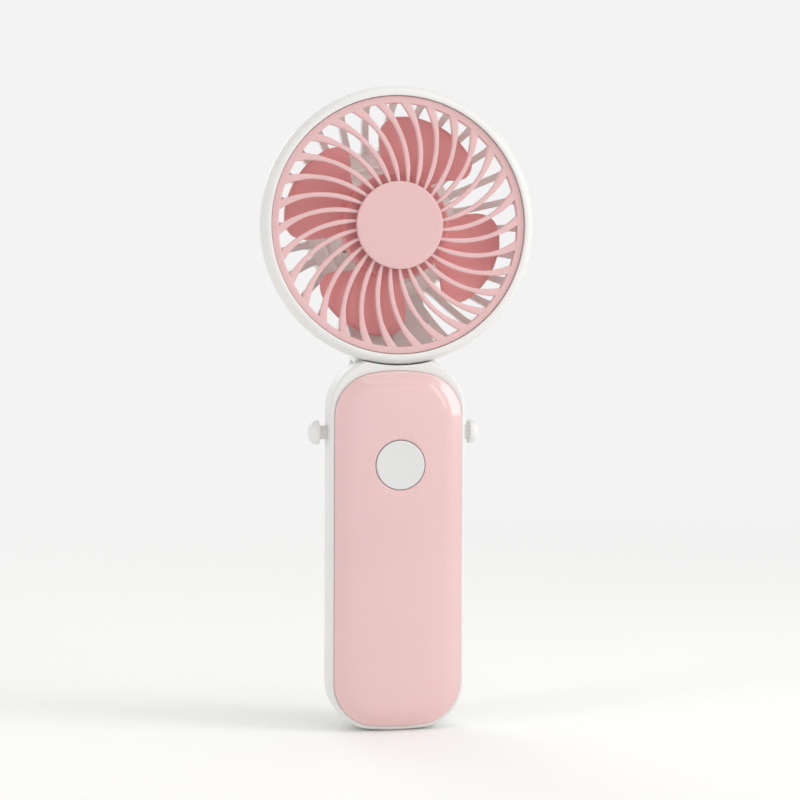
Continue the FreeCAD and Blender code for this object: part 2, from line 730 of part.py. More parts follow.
def make_front_grille():
    radius = d.grille_radius.value
    front = d.grille_front.value
    back = d.rim_ledge_front.value
    ring = disc(radius, front, back)
    ring = ring.cut(disc(d.grille_ring_radius.value, front - 1, back + 1))
    hub = disc(d.grille_hub_radius.value, front, back - 0.4)
    hub = hub.cut(disc(d.cap_spigot_radius.value + 0.1, front - 1, back + 1))
    start = (d.grille_hub_radius.value - 0.8) / radius
    end = (d.grille_ring_radius.value + 0.5) / radius
    steps = 9
    reaches = [start + (end - start) * i / steps for i in range(steps + 1)]
    sides = []
    for sign in (-1, 1):
        points = []
        for reach in reaches:
            r = reach * radius
            half_turn = math.degrees(rib_width(reach) / 2 / r)
            points.append(polar(r, rib_angle(reach) + sign * half_turn, front))
        curve = Part.BSplineCurve()
        curve.interpolate(points)
        sides.append((curve.toShape(), points))
    (right, right_points), (left, left_points) = sides
    outline = Part.Wire([
        right,
        Part.LineSegment(right_points[-1], left_points[-1]).toShape(),
        left,
        Part.LineSegment(left_points[0], right_points[0]).toShape(),
    ])
    rib = Part.Face(outline).extrude(Vector(0, back - front - 0.2, 0))
    count = int(d.grille_rib_count.value)
    ribs = []
    for i in range(count):
        copy = rib.copy()
        copy.rotate(Vector(0, 0, 0), Vector(0, 1, 0), 360.0 * i / count)
        ribs.append(copy)
    node("front_grille", feature(ring.multiFuse([hub] + ribs), HEAD))


def make_grille_cap():
    zero = sized(0.0)
    edge = sized(1.0)
    back = d.grille_front
    node("grille_cap", revolved("grille_cap", [
        (zero, d.cap_front),
        (d.cap_radius - edge, d.cap_front),
        (d.cap_radius, d.cap_front + edge, edge, "right"),
        (d.cap_radius, back),
        (d.cap_spigot_radius, back),
        (d.cap_spigot_radius, back + 1.8),
        (zero, back + 1.8),
    ], HEAD))


def blade_shape():
    """One blade: its outline seen from the front, cut from a plate that is tilted for pitch."""
    tip = d.blade_tip_radius.value
    root = d.hub_radius.value - 0.6
    pitch = 13.0
    middle = 5.2
    thickness = d.blade_thickness.value
    # the trailing edge sweeps out from the root and round to the tip (radius, angle)
    trailing = [(root, -18.0), (22.0, -24.0), (25.0, -29.5), (28.0, -32.8), (31.0, -30.5),
                (33.4, -24.0), (35.2, -10.0), (tip, 8.0)]
    leading = [(tip, 18.0), (34.6, 26.0), (31.0, 30.5), (25.0, 33.0), (root, 33.0)]

    def spline(places):
        curve = Part.BSplineCurve()
        curve.interpolate([polar(r, a) for r, a in places])
        return curve.toShape()

    outline = Part.Wire([
        spline(trailing),
        Part.LineSegment(polar(*trailing[-1]), polar(*leading[0])).toShape(),
        spline(leading),
        Part.LineSegment(polar(*leading[-1]), polar(*trailing[0])).toShape(),
    ])
    prism = Part.Face(outline).extrude(Vector(0, 14, 0))
    plate = Part.makeBox(60, thickness, 80, Vector(0, -thickness / 2, -40))
    plate.rotate(Vector(0, 0, 0), Vector(1, 0, 0), -pitch)
    plate.translate(Vector(0, middle, 0))
    return prism.common(plate)


def make_impeller():
    zero = sized(0.0)
    wall = d.hub_wall
    boss = sized(3.0)
    bore_start = d.hub_front + wall + 0.2
    hub = revolved("impeller_hub", [
        (zero, d.hub_front),
        (d.hub_radius - 1.0, d.hub_front),
        (d.hub_radius, d.hub_front + 1.0, sized(1.0), "right"),
        (d.hub_radius, d.hub_back),
        (d.hub_radius - wall, d.hub_back),
        (d.hub_radius - wall, d.hub_front + wall),
        (boss, d.hub_front + wall),
        (boss, d.hub_back - 1),
        (d.shaft_radius, d.hub_back - 1),
        (d.shaft_radius, bore_start),
        (zero, bore_start),
    ], HEAD)
    blade = blade_shape()
    count = int(d.blade_count.value)
    blades = []
    for i in range(count):
        angle = d.blade_rest_angle.value + 360.0 * i / count
        blades.append(feature(blade, HEAD, Rotation(Vector(0, 1, 0), -angle)))
    node("impeller", fuse(hub, *blades))
    node("motor_shaft", cylinder(d.shaft_radius, bore_start, d.motor_back, (0.0, d.head_z)))


def make_motor():
    front, back, radius = d.motor_front, d.motor_back, d.motor_radius
    inner = radius - d.motor_sheet
    centre = (0.0, d.head_z)
    can = cylinder(radius, front, back, centre)
    hollow = cylinder(inner, front + d.motor_sheet, back + 1, centre)
    hole = cylinder(d.bushing_radius, front - 1, front + 2, centre)
    node("motor_can", cut(can, hollow, hole))
    cap_front = back - 1.8
    cap = cylinder(inner - 0.05, cap_front, back, centre)
    node("motor_end_cap", cut(cap, cylinder(d.bushing_radius, cap_front - 1, back + 1, centre)))
    bore = cylinder(d.shaft_radius + d.shaft_clearance, front - 2, back + 2, centre)
    front_bushing = cylinder(d.bushing_radius, front - 0.6, front + 1.4, centre)
    back_bushing = cylinder(d.bushing_radius, cap_front - 0.4, back, centre)
    node("motor_bushings", cut(fuse(front_bushing, back_bushing), bore))
    ring = cut(cylinder(inner - 0.05, front + 2, cap_front - 0.5, centre),
               cylinder(inner - 1.6, front + 1, cap_front + 1, centre))
    gap = box((-2.5, front, d.head_z - radius), (2.5, back, d.head_z + radius))
    node("motor_magnets", cut(ring, gap))
    core = cylinder(inner - 2.0, front + 2.6, cap_front - 2.4, centre)
    commutator = cylinder(3.0, cap_front - 2.4, cap_front - 0.7, centre)
    shaft_hole = cylinder(d.shaft_radius, front, back, centre)
    node("motor_rotor", cut(fuse(core, commutator), shaft_hole))


def head_lead_points(x):
    """From the motor's end cap, along the disc and down inside the arm to the barrel."""
    centre = d.head_z.value
    back = d.disc_front.value - 0.8
    return [
        (x, back, centre - 4.0),
        (x, back, centre - 24.9),
        (x, 16.0, centre - 34.8),
        (x, d.lead_y.value, centre - 41.2),
        (x, d.lead_y.value, d.hinge_z.value - 3.0),
    ]


def make_motor_leads():
    radius = d.lead_radius.value
    node("motor_leads", feature(Part.makeCompound([lead(head_lead_points(x), radius) for x in LEAD_X])))
    top = d.hinge_z.value - d.barrel_radius.value - 1.2
    low = d.board_high.value - 3.0
    y = d.lead_y.value
    runs = [lead([(x, y, top), (x, y, low)], radius) for x in LEAD_X]
    node("board_leads", feature(Part.makeCompound(runs)))


def make_rear_cage():
    zero = sized(0.0)
    outer_start = (d.band_back_radius, d.band_depth)
    inner_start = (d.band_inner_radius, d.band_depth)
    outer_end = (d.disc_radius, d.disc_back)
    inner_end = (d.disc_inner_radius, d.disc_front)
    inner_arc = d.dome_arc - 2
    band = revolved("cage_band", [
        (d.spigot_radius, zero),
        (d.rim_radius, zero),
        outer_start,
        inner_start,
        (d.band_inner_radius, d.spigot_depth),
        (d.spigot_radius, d.spigot_depth),
    ], HEAD)
    dome = revolved("cage_dome", [
        outer_start,
        (*outer_end, d.dome_arc, "right"),
        inner_end,
        (*inner_start, inner_arc, "left"),
    ], HEAD)
    inside = revolved("cage_inside", [
        (zero, zero - 9),
        (d.band_inner_radius, zero - 9),
        inner_start,
        (*inner_end, inner_arc, "right"),
        (zero, d.disc_front),
    ], HEAD)
    cup_inner = d.motor_radius + 0.1
    back_disc = revolved("cage_disc", [
        (cup_inner, d.motor_front + 3),
        (d.motor_cup_radius, d.motor_front + 3),
        (d.motor_cup_radius, d.disc_front),
        inner_end,
        outer_end,
        (d.disc_hole_radius, d.disc_back),
        (d.disc_hole_radius, d.disc_front),
        (cup_inner, d.disc_front),
    ], HEAD)
    half = d.cage_rib_width / 2
    star = slab("cage_star", [(-half, zero), (-half, -d.rim_radius), (half, -d.rim_radius), (half, zero)],
                d.band_depth - 1, d.disc_back + 1)
    pattern = star.newObject("PartDesign::PolarPattern", "cage_ribs")
    pattern.Originals = [star.Tip]
    pattern.Axis = (star.Group[0], ["N_Axis"])
    pattern.Angle = 360
    bind(pattern, Occurrences=d.cage_rib_count)
    star.Tip = pattern
    place(star, HEAD)
    arm = box((-d.arm_half_width, d.band_depth - 1, d.head_z - d.rim_radius),
              (d.arm_half_width, d.disc_back + 1, d.head_z - d.disc_inner_radius + 2))
    ribs = common(dome, fuse(star, arm))
    neck = cut(box((-d.arm_half_width, d.spigot_depth, d.hinge_z),
                   (d.arm_half_width, d.hinge_y + d.barrel_radius, d.head_z - d.rim_radius + 6.5)),
               inside)
    barrel = cylinder(d.barrel_radius, -d.arm_half_width, d.arm_half_width, (d.hinge_y, d.hinge_z), "x")
    spots = [around_head(d.cover_screw_circle.value, angle) for angle in COVER_SCREW_ANGLES]
    bosses = [cylinder(2.0, d.disc_front - 4, d.disc_front, spot) for spot in spots]
    whole = fuse(band, ribs, back_disc, neck, barrel, *bosses)
    pin_bore = cylinder(d.pin_radius + d.pin_clearance, -BEYOND, BEYOND, (d.hinge_y, d.hinge_z), "x")
    screw_bore = d.cover_screw_radius + 0.05
    screw_holes = [cylinder(screw_bore, d.disc_front - 5, d.disc_back + 1, spot) for spot in spots]
    channels = [feature(lead(head_lead_points(x), d.lead_radius.value + 0.3)) for x in LEAD_X]
    lead_exit = box((-d.lead_hole_half_width, d.lead_y - d.lead_hole_half_depth,
                     d.hinge_z - d.barrel_radius - 1),
                    (d.lead_hole_half_width, d.lead_y + d.lead_hole_half_depth, d.hinge_z - 2))
    # lets the leads out of the motor's cup, along the disc
    notch = box((-d.lead_hole_half_width, d.disc_front - 1.6, d.head_z - d.motor_cup_radius - 0.5),
                (d.lead_hole_half_width, d.disc_front, d.head_z - d.motor_radius + 1))
    node("rear_cage", cut(whole, pin_bore, lead_exit, notch, *screw_holes, *channels))


def make_motor_cover():
    zero = sized(0.0)
    front = d.disc_back
    edge = sized(1.4)
    cap = revolved("motor_cover_cap", [
        (zero, front),
        (d.motor_cover_radius, front),
        (d.motor_cover_radius, d.motor_cover_back - edge),
        (d.motor_cover_radius - edge, d.motor_cover_back, edge, "right"),
        (zero, d.motor_cover_back),
    ], HEAD)
    seat = d.cover_screw_seat
    past = d.motor_cover_back + 1
    tools = []
    screws = []
    for angle in COVER_SCREW_ANGLES:
        x, z = around_head(d.cover_screw_circle.value, angle)
        tools.append(cylinder(d.cover_screw_radius + 0.05, front - 1, past, (x, z)))
        tools.append(cylinder(d.cover_screw_head_radius + 0.1, seat, past, (x, z)))
        screws.append(screw(sized(x), sized(z), seat + 1.2, seat, d.disc_front - 3,
                            d.cover_screw_head_radius, d.cover_screw_radius))
    node("motor_cover", cut(cap, *tools))
    node("cover_screws", fuse(*screws))


# ---- build, check and export ---------------------------------------------------------


def check_and_export():
    doc.recompute()
    for obj in doc.Objects:
        for state in obj.State:
            if state in ("Invalid", "Error"):
                raise RuntimeError(f"{obj.Label} is {state}")
    labels = [obj.Label for obj in nodes]
    if len(set(labels)) != len(labels):
        raise RuntimeError("two nodes share a name")
    for obj in nodes:
        if obj.Shape.isNull() or not obj.Shape.isValid():
            raise RuntimeError(f"{obj.Label} has no valid shape")
    os.makedirs("parts", exist_ok=True)
    for obj in nodes:
        shape = obj.Shape
        shape.exportStep(f"parts/{obj.Label}.step")
        print(f"{obj.Label:20s} {len(shape.Solids):3d} solids {shape.Volume:10.1f} mm3")


def main():
    make_rear_shell()
    make_front_cover()
    make_button()
    make_switch()
    make_pegs()
    make_hinge()
    make_battery()
    make_board()
    make_socket()
    make_shell_screws()
    make_front_bezel()
    make_front_grille()
    make_grille_cap()
    make_impeller()
    make_motor()
    make_motor_leads()
    make_rear_cage()
    make_motor_cover()
    check_and_export()


main()
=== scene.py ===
"""Looks of a handheld electric fan, pastel pink and white, drawn upright on its foot."""

import json
import math

import bmesh
import bpy
from mathutils import Euler, Matrix, Vector


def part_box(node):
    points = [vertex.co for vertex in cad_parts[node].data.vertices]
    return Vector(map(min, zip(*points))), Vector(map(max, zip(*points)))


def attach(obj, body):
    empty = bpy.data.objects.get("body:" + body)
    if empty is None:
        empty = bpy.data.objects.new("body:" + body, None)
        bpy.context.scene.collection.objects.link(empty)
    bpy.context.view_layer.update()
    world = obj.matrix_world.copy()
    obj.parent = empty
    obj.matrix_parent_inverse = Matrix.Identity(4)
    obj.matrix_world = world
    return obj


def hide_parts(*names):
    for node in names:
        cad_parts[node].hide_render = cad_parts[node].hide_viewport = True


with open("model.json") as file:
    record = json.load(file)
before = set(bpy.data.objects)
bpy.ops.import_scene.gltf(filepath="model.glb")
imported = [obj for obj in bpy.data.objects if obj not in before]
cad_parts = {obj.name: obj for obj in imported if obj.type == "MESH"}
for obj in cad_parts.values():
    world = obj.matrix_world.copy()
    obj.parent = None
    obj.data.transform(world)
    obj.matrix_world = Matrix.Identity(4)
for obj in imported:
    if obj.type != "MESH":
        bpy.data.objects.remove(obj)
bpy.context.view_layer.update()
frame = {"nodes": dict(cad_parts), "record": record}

MM = 0.001


def mm_box(node):
    """A CAD node's corners in millimetres."""
    low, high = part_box(node)
    return Vector(low) / MM, Vector(high) / MM


# ---- sizes worked out from the frame, in millimetres -----------------------------------

BEZEL_LOW, BEZEL_HIGH = mm_box("front_bezel")
GRILLE_LOW, GRILLE_HIGH = mm_box("front_grille")
CAP_LOW, CAP_HIGH = mm_box("grille_cap")
SHELL_LOW, SHELL_HIGH = mm_box("rear_shell")
COVER_LOW, COVER_HIGH = mm_box("front_cover")
BUTTON_LOW, BUTTON_HIGH = mm_box("power_button")
PEG_LOW, PEG_HIGH = mm_box("lanyard_peg_right")
PIN_LOW, PIN_HIGH = mm_box("hinge_pin")
MOTOR_COVER_LOW, MOTOR_COVER_HIGH = mm_box("motor_cover")
SOCKET_LOW, SOCKET_HIGH = mm_box("charging_socket")
LIGHT_LOW, LIGHT_HIGH = mm_box("light_pipe")

HEAD_Z = (GRILLE_LOW.z + GRILLE_HIGH.z) / 2
RIM = BEZEL_HIGH.x
RING = GRILLE_HIGH.x
CAP = CAP_HIGH.x
HINGE_Y = (PIN_LOW.y + PIN_HIGH.y) / 2
HINGE_Z = (PIN_LOW.z + PIN_HIGH.z) / 2
BUTTON_Z = (BUTTON_LOW.z + BUTTON_HIGH.z) / 2
PEG_Y = (PEG_LOW.y + PEG_HIGH.y) / 2
PEG_Z = (PEG_LOW.z + PEG_HIGH.z) / 2
PEG_HEAD = (PEG_HIGH.z - PEG_LOW.z) / 2


# ---- sizes of the looks alone, in millimetres and degrees ------------------------------

SMOOTH_ANGLE = 34.0
HEAD = (0.0, 0.0, HEAD_Z)

RIB_COUNT = 30
# shares of the ring's radius: where a rib's sweep and widening are counted from, and where it flares
RIB_ROOT, RIB_FLARE = 0.38, 0.765
# a rib's width at RIB_ROOT and along its middle
RIB_SLIM, RIB_EVEN = 1.2, 1.65

BLADE_COUNT, BLADE_FIRST = 4, 67.0
BLADE_ROOT, BLADE_TIP = 16.7, 36.4
BLADE_MIDDLE_DEPTH = 5.2
BLADE_PITCH = math.tan(math.radians(13.0))
BLADE_HALF_THICK, BLADE_CAMBER = 0.62, 0.9

# the dome of the rear cage: its start and end as (radius, depth), and its long curve's radius
DOME_OUTER = ((43.4, 4.2), (27.5, 28.8), 68.0)
DOME_INNER = ((41.0, 4.2), (25.6, 26.6), 66.0)
CAGE_RIBS, CAGE_RIB_HALF = 28, 1.15
BAND_BACK, BAND_INNER = 4.3, 41.0
MOTOR_SCREW_CIRCLE, MOTOR_SCREW_ANGLES = 15.5, (90.0, 210.0, 330.0)

ARM_HALF, SLOT_HALF = 13.65, 13.9
BARREL_RADIUS = 5.5
SLOT_FRONT, SLOT_FLOOR = 1.4, 110.4

HANDLE_HALF, HANDLE_TOP = SHELL_HIGH.x, 122.0
SHELL_WALL, BACK_ROUND, LIP = 2.1, 8.0, 1.1
SHELL_SCREW_X, SHELL_SCREW_Z = 15.6, (16.0, 103.5)
SCREW_HOLE, SCREW_SEAT = 2.35, 11.0
PORT_HALF_WIDE, PORT_HALF_HIGH, PORT_ROUND = 4.7, 1.85, 1.8
LIGHT_HOLE, POCKET_FRONT = 1.15, 9.0

COVER_HALF = COVER_HIGH.x
COVER_BACK, COVER_SHOULDER = -2.5, -5.1
# from this depth on, the cover's face falls away by COVER_CROWN of its height at its long sides
COVER_EDGE, COVER_CROWN = -4.0, 0.36

FOOT_CORNER, TOP_CORNER, COVER_CORNER = 15.0, 16.5, 14.2
# half width, low and high ends, corner radii at those ends, radii of those ends' gentle curves
SHELL_OUTLINE = (HANDLE_HALF, 0.0, HANDLE_TOP, FOOT_CORNER, TOP_CORNER, 90.0, None)
COVER_OUTLINE = (COVER_HALF, COVER_LOW.z, COVER_HIGH.z, COVER_CORNER, COVER_CORNER, 90.0, 50.0)
# how many steps ring() takes round a corner, along a side and along an end
ARC_STEPS, SIDE_STEPS, END_STEPS = 18, 20, 9

BUTTON_RADIUS, BUTTON_DISH, BUTTON_FLANGE = 7.98, 0.18, 9.2
PEG_FLANGE, PEG_NECK, PEG_NECK_LENGTH = 3.2, 2.25, 2.6


# ---- camera and light, in metres, with the lens in millimetres -------------------------

EYE_DISTANCE = 0.650
EYE_AZIMUTH = math.radians(-11.0)
EYE_HEIGHT = 0.140
LOOK_DOWN = math.radians(2.8)
ROLL = math.radians(0.25)
FOCAL = 89.6
AIM = Vector((0.0012, 0.0, 0.0))


def make_camera():
    data = bpy.data.cameras.new("camera")
    data.lens = FOCAL
    data.sensor_width = 36.0
    data.clip_start = 0.01
    camera = bpy.data.objects.new("camera", data)
    back = Vector((math.sin(EYE_AZIMUTH), -math.cos(EYE_AZIMUTH), 0.0))
    camera.location = AIM + back * EYE_DISTANCE + Vector((0, 0, EYE_HEIGHT))
    turn = Euler((math.pi / 2 - LOOK_DOWN, 0.0, EYE_AZIMUTH)).to_matrix()
    camera.rotation_euler = (turn @ Matrix.Rotation(ROLL, 3, "Z")).to_euler()
    bpy.context.scene.collection.objects.link(camera)
    bpy.context.scene.camera = camera


def area_light(name, place, aim, size, power):
    data = bpy.data.lights.new(name, "AREA")
    data.shape = "RECTANGLE"
    data.size, data.size_y = size
    data.energy = power
    light = bpy.data.objects.new(name, data)
    light.location = place
    light.rotation_euler = (Vector(aim) - Vector(place)).to_track_quat("-Z", "Y").to_euler()
    bpy.context.scene.collection.objects.link(light)


def make_lights():
    scene = bpy.context.scene
    scene.view_settings.view_transform = "Standard"
    world = bpy.data.worlds.new("studio")
    world.use_nodes = True
    background = world.node_tree.nodes["Background"]
    background.inputs["Color"].default_value = (1.0, 1.0, 1.0, 1.0)
    background.inputs["Strength"].default_value = 0.45
    scene.world = world
    area_light("key", (0.85, -0.42, 0.52), (0, 0, 0.11), (0.35, 1.0), 4.3)
    area_light("strip", (0.62, -0.78, 0.5), (0, 0, 0.11), (0.16, 0.8), 0.8)
    area_light("top", (0.10, -0.10, 1.15), (0, 0, 0.1), (0.8, 0.8), 2.8)
    area_light("fill", (-0.93, -0.40, 0.5), (0, 0, 0.1), (0.2, 0.8), 1.6)
    area_light("front_top", (-0.1, -0.75, 0.95), (0, 0, 0.1), (1.2, 0.06), 0.4)
    area_light("rear", (-0.3, 0.9, 0.6), (0, 0, 0.15), (0.6, 0.6), 1.6)


# ---- materials -------------------------------------------------------------------------


def linear(r, g, b):
    """A screen colour, 0 to 255, as the linear colour that a shader takes."""
    out = []
    for value in (r, g, b):
        share = value / 255
        out.append(share / 12.92 if share <= 0.04045 else ((share + 0.055) / 1.055) ** 2.4)
    return (*out, 1.0)


def moulded(name, colour, darker, roughness, grain=0.0, grain_size=0.5, coat=0.0, scatter=0.0):
    """Moulded plastic: a faint flow variation in its colour, uneven polish and a fine grain.

    grain is the height in millimetres of a texture whose features are grain_size millimetres.
    """
    material = bpy.data.materials.new(name)
    material.use_nodes = True
    nodes, links = material.node_tree.nodes, material.node_tree.links
    shader = nodes["Principled BSDF"]
    shader.inputs["Coat Weight"].default_value = coat
    shader.inputs["Coat Roughness"].default_value = 0.06
    shader.inputs["IOR"].default_value = 1.5
    shader.inputs["Subsurface Weight"].default_value = scatter
    shader.inputs["Subsurface Scale"].default_value = 0.002
    place = nodes.new("ShaderNodeTexCoord")
    flow = nodes.new("ShaderNodeTexNoise")
    flow.inputs["Scale"].default_value = 22.0
    flow.inputs["Detail"].default_value = 3.0
    links.new(place.outputs["Object"], flow.inputs["Vector"])
    tint = nodes.new("ShaderNodeValToRGB")
    tint.color_ramp.elements[0].position = 0.3
    tint.color_ramp.elements[0].color = darker
    tint.color_ramp.elements[1].position = 0.7
    tint.color_ramp.elements[1].color = colour
    links.new(flow.outputs["Fac"], tint.inputs["Fac"])
    links.new(tint.outputs["Color"], shader.inputs["Base Color"])
    polish = nodes.new("ShaderNodeTexNoise")
    polish.inputs["Scale"].default_value = 90.0
    polish.inputs["Detail"].default_value = 4.0
    links.new(place.outputs["Object"], polish.inputs["Vector"])
    spread = nodes.new("ShaderNodeMapRange")
    spread.inputs["To Min"].default_value = roughness * 0.88
    spread.inputs["To Max"].default_value = roughness * 1.12
    links.new(polish.outputs["Fac"], spread.inputs["Value"])
    links.new(spread.outputs["Result"], shader.inputs["Roughness"])
    if grain:
        texture = nodes.new("ShaderNodeTexNoise")
        texture.inputs["Scale"].default_value = 1.0 / (grain_size * MM)
        texture.inputs["Detail"].default_value = 2.0
        links.new(place.outputs["Object"], texture.inputs["Vector"])
        bump = nodes.new("ShaderNodeBump")
        bump.inputs["Distance"].default_value = grain * MM
        bump.inputs["Strength"].default_value = 1.0
        links.new(texture.outputs["Fac"], bump.inputs["Height"])
        links.new(bump.outputs["Normal"], shader.inputs["Normal"])
    return material


def metal(name, colour, roughness):
    """Plated or drawn metal: fine scratches break up its polish."""
    material = moulded(name, colour, tuple(0.86 * c for c in colour[:3]) + (1.0,), roughness)
    nodes, links = material.node_tree.nodes, material.node_tree.links
    shader = nodes["Principled BSDF"]
    shader.inputs["Metallic"].default_value = 1.0
    scratches = nodes.new("ShaderNodeTexNoise")
    scratches.inputs["Scale"].default_value = 400.0
    scratches.inputs["Detail"].default_value = 6.0
    bump = nodes.new("ShaderNodeBump")
    bump.inputs["Distance"].default_value = 0.00002
    links.new(scratches.outputs["Fac"], bump.inputs["Height"])
    links.new(bump.outputs["Normal"], shader.inputs["Normal"])
    return material


def make_materials():
    return {
        "white_plastic": moulded("white_plastic", linear(227, 226, 223), linear(223, 222, 219), 0.38,
                                 grain=0.004, grain_size=0.35, scatter=0.05),
        # the same white plastic made brighter: painted light, standing in for the light that reaches the cage's
        # ribs and disc inside the head
        "cage_white_painted_light": moulded("cage_white_painted_light", linear(244, 243, 240), linear(240, 239, 236), 0.38,
                              grain=0.004, grain_size=0.35, scatter=0.05),
        "pink_gloss": moulded("pink_gloss", linear(225, 188, 187), linear(221, 184, 183), 0.24, coat=0.9),
        "pink_grille": moulded("pink_grille", linear(222, 183, 183), linear(218, 178, 178), 0.42,
                               grain=0.003, grain_size=0.3, scatter=0.04),
        "pink_impeller": moulded("pink_impeller", linear(240, 166, 165), linear(234, 158, 157), 0.34,
                                 grain=0.002, grain_size=0.4),
        "button_white": moulded("button_white", linear(217, 217, 216), linear(213, 213, 212), 0.34,
                                grain=0.003, grain_size=0.25),
        "black_plastic": moulded("black_plastic", linear(46, 46, 47), linear(38, 38, 39), 0.5,
                                 grain=0.004, grain_size=0.3),
        "steel": metal("steel", linear(196, 197, 199), 0.3),
        "nickel": metal("nickel", linear(206, 204, 198), 0.22),
        "cell_wrap": moulded("cell_wrap", linear(92, 150, 186), linear(84, 140, 176), 0.3, coat=0.3),
        "wire": moulded("wire", linear(190, 52, 46), linear(176, 44, 40), 0.45),
        "wire_white": moulded("wire_white", linear(232, 230, 226), linear(224, 222, 218), 0.45),
        "board": moulded("board", linear(44, 120, 70), linear(36, 108, 62), 0.3, coat=0.3),
        "clear_plastic": moulded("clear_plastic", linear(236, 238, 238), linear(228, 230, 230), 0.12, coat=0.5),
        "brass": metal("brass", linear(206, 176, 112), 0.35),
        "magnet": moulded("magnet", linear(66, 66, 68), linear(56, 56, 58), 0.6, grain=0.006, grain_size=0.3),
    }


# ---- stage -----------------------------------------------------------------------------


def make_stage():
    """A white floor that rises far behind into an even background."""
    rings = []
    for i in range(24):
        share = i / 23
        radius = 0.02 + 3.2 * share**1.5
        rise = max(0.0, radius - 1.2)
        rings.append((radius, 0.45 * rise**2))
    bm = bmesh.new()
    sides = 96
    loops = [[bm.verts.new((r * math.cos(2 * math.pi * k / sides), r * math.sin(2 * math.pi * k / sides), z))
              for k in range(sides)] for r, z in rings]
    bm.faces.new(loops[0])
    for inner, outer in zip(loops, loops[1:]):
        for k in range(sides):
            after = (k + 1) % sides
            bm.faces.new((inner[k], outer[k], outer[after], inner[after]))
    mesh = bpy.data.meshes.new("floor")
    bm.to_mesh(mesh)
    bm.free()
    mesh.shade_smooth()
    floor = bpy.data.objects.new("floor", mesh)
    bpy.context.scene.collection.objects.link(floor)
    material = bpy.data.materials.new("studio_floor")
    material.use_nodes = True
    nodes, links = material.node_tree.nodes, material.node_tree.links
    shader = nodes["Principled BSDF"]
    shader.inputs["Base Color"].default_value = linear(248, 248, 246)
    shader.inputs["Roughness"].default_value = 0.7
    shader.inputs["Specular IOR Level"].default_value = 0.2
    glow = nodes.new("ShaderNodeEmission")
    glow.inputs["Color"].default_value = linear(243, 243, 243)
    place = nodes.new("ShaderNodeTexCoord")
    length = nodes.new("ShaderNodeVectorMath")
    length.operation = "LENGTH"
    links.new(place.outputs["Object"], length.inputs[0])
    fade = nodes.new("ShaderNodeMapRange")
    fade.interpolation_type = "SMOOTHSTEP"
    fade.inputs["From Min"].default_value = 0.12
    fade.inputs["From Max"].default_value = 0.75
    links.new(length.outputs["Value"], fade.inputs["Value"])
    mix = nodes.new("ShaderNodeMixShader")
    links.new(fade.outputs["Result"], mix.inputs["Fac"])
    links.new(shader.outputs["BSDF"], mix.inputs[1])
    links.new(glow.outputs["Emission"], mix.inputs[2])
    links.new(mix.outputs["Shader"], nodes["Material Output"].inputs["Surface"])
    mesh.materials.append(material)


# ---- mesh building ---------------------------------------------------------------------


def add_piece(name, bm, material, body, replaced=(), smooth_angle=SMOOTH_ANGLE):
    """Turns a bmesh in millimetres into a finished piece that rides on a CAD body."""
    bmesh.ops.scale(bm, vec=(MM, MM, MM), verts=bm.verts)
    bmesh.ops.recalc_face_normals(bm, faces=bm.faces)
    mesh = bpy.data.meshes.new(name)
    bm.to_mesh(mesh)
    bm.free()
    mesh.shade_smooth()
    mesh.set_sharp_from_angle(angle=math.radians(smooth_angle))
    piece = bpy.data.objects.new(name, mesh)
    bpy.context.scene.collection.objects.link(piece)
    mesh.materials.append(MATERIALS[material])
    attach(piece, body)
    if replaced:
        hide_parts(*replaced)
    return piece


def rounded(corners, steps=6, closed=True):
    """The points of an outline whose corners are (x, y) or (x, y, radius of rounding)."""
    points = []
    count = len(corners)
    for i, corner in enumerate(corners):
        here = Vector(corner[:2])
        radius = corner[2] if len(corner) > 2 else 0.0
        if not radius or (not closed and i in (0, count - 1)):
            points.append(here)
            continue
        back = (Vector(corners[i - 1][:2]) - here).normalized()
        onward = (Vector(corners[(i + 1) % count][:2]) - here).normalized()
        half = back.angle(onward) / 2
        reach = radius / math.tan(half)
        centre = here + (back + onward).normalized() * (radius / math.sin(half))
        first = here + back * reach - centre
        last = here + onward * reach - centre
        swing = first.angle_signed(last)
        for k in range(steps + 1):
            turned = first.copy()
            turned.rotate(Matrix.Rotation(-swing * k / steps, 2))
            points.append(centre + turned)
    return points


def lathe(bm, outline, centre=(0.0, 0.0, 0.0), segments=160, axis="y"):
    """Turns a closed outline of (radius, along) points about an axis through centre."""
    middle = Vector(centre)
    loops = []
    for k in range(segments):
        turn = 2 * math.pi * k / segments
        c, s = math.cos(turn), math.sin(turn)
        loop = []
        for radius, along in outline:
            if axis == "y":
                spot = Vector((radius * c, along, radius * s))
            else:
                spot = Vector((along, radius * c, radius * s))
            loop.append(bm.verts.new(middle + spot))
        loops.append(loop)
    count = len(outline)
    for k in range(segments):
        this, after = loops[k], loops[(k + 1) % segments]
        for i in range(count):
            j = (i + 1) % count
            if outline[i][0] < 1e-6 and outline[j][0] < 1e-6:
                continue
            bm.faces.new((this[i], this[j], after[j], after[i]))
    bmesh.ops.remove_doubles(bm, verts=bm.verts, dist=1e-5)


def polar(radius, degrees, depth):
    """A point of the head, by its radius and angle about the head's axis."""
    turn = math.radians(degrees)
    return Vector((radius * math.cos(turn), depth, HEAD_Z + radius * math.sin(turn)))


def loft(bm, sections, close_ends=True):
    """Skins a run of closed sections that have the same number of points."""
    loops = [[bm.verts.new(p) for p in section] for section in sections]
    for first, second in zip(loops, loops[1:]):
        count = len(first)
        for i in range(count):
            j = (i + 1) % count
            bm.faces.new((first[i], first[j], second[j], second[i]))
    if close_ends:
        bm.faces.new(loops[0])
        bm.faces.new(list(reversed(loops[-1])))


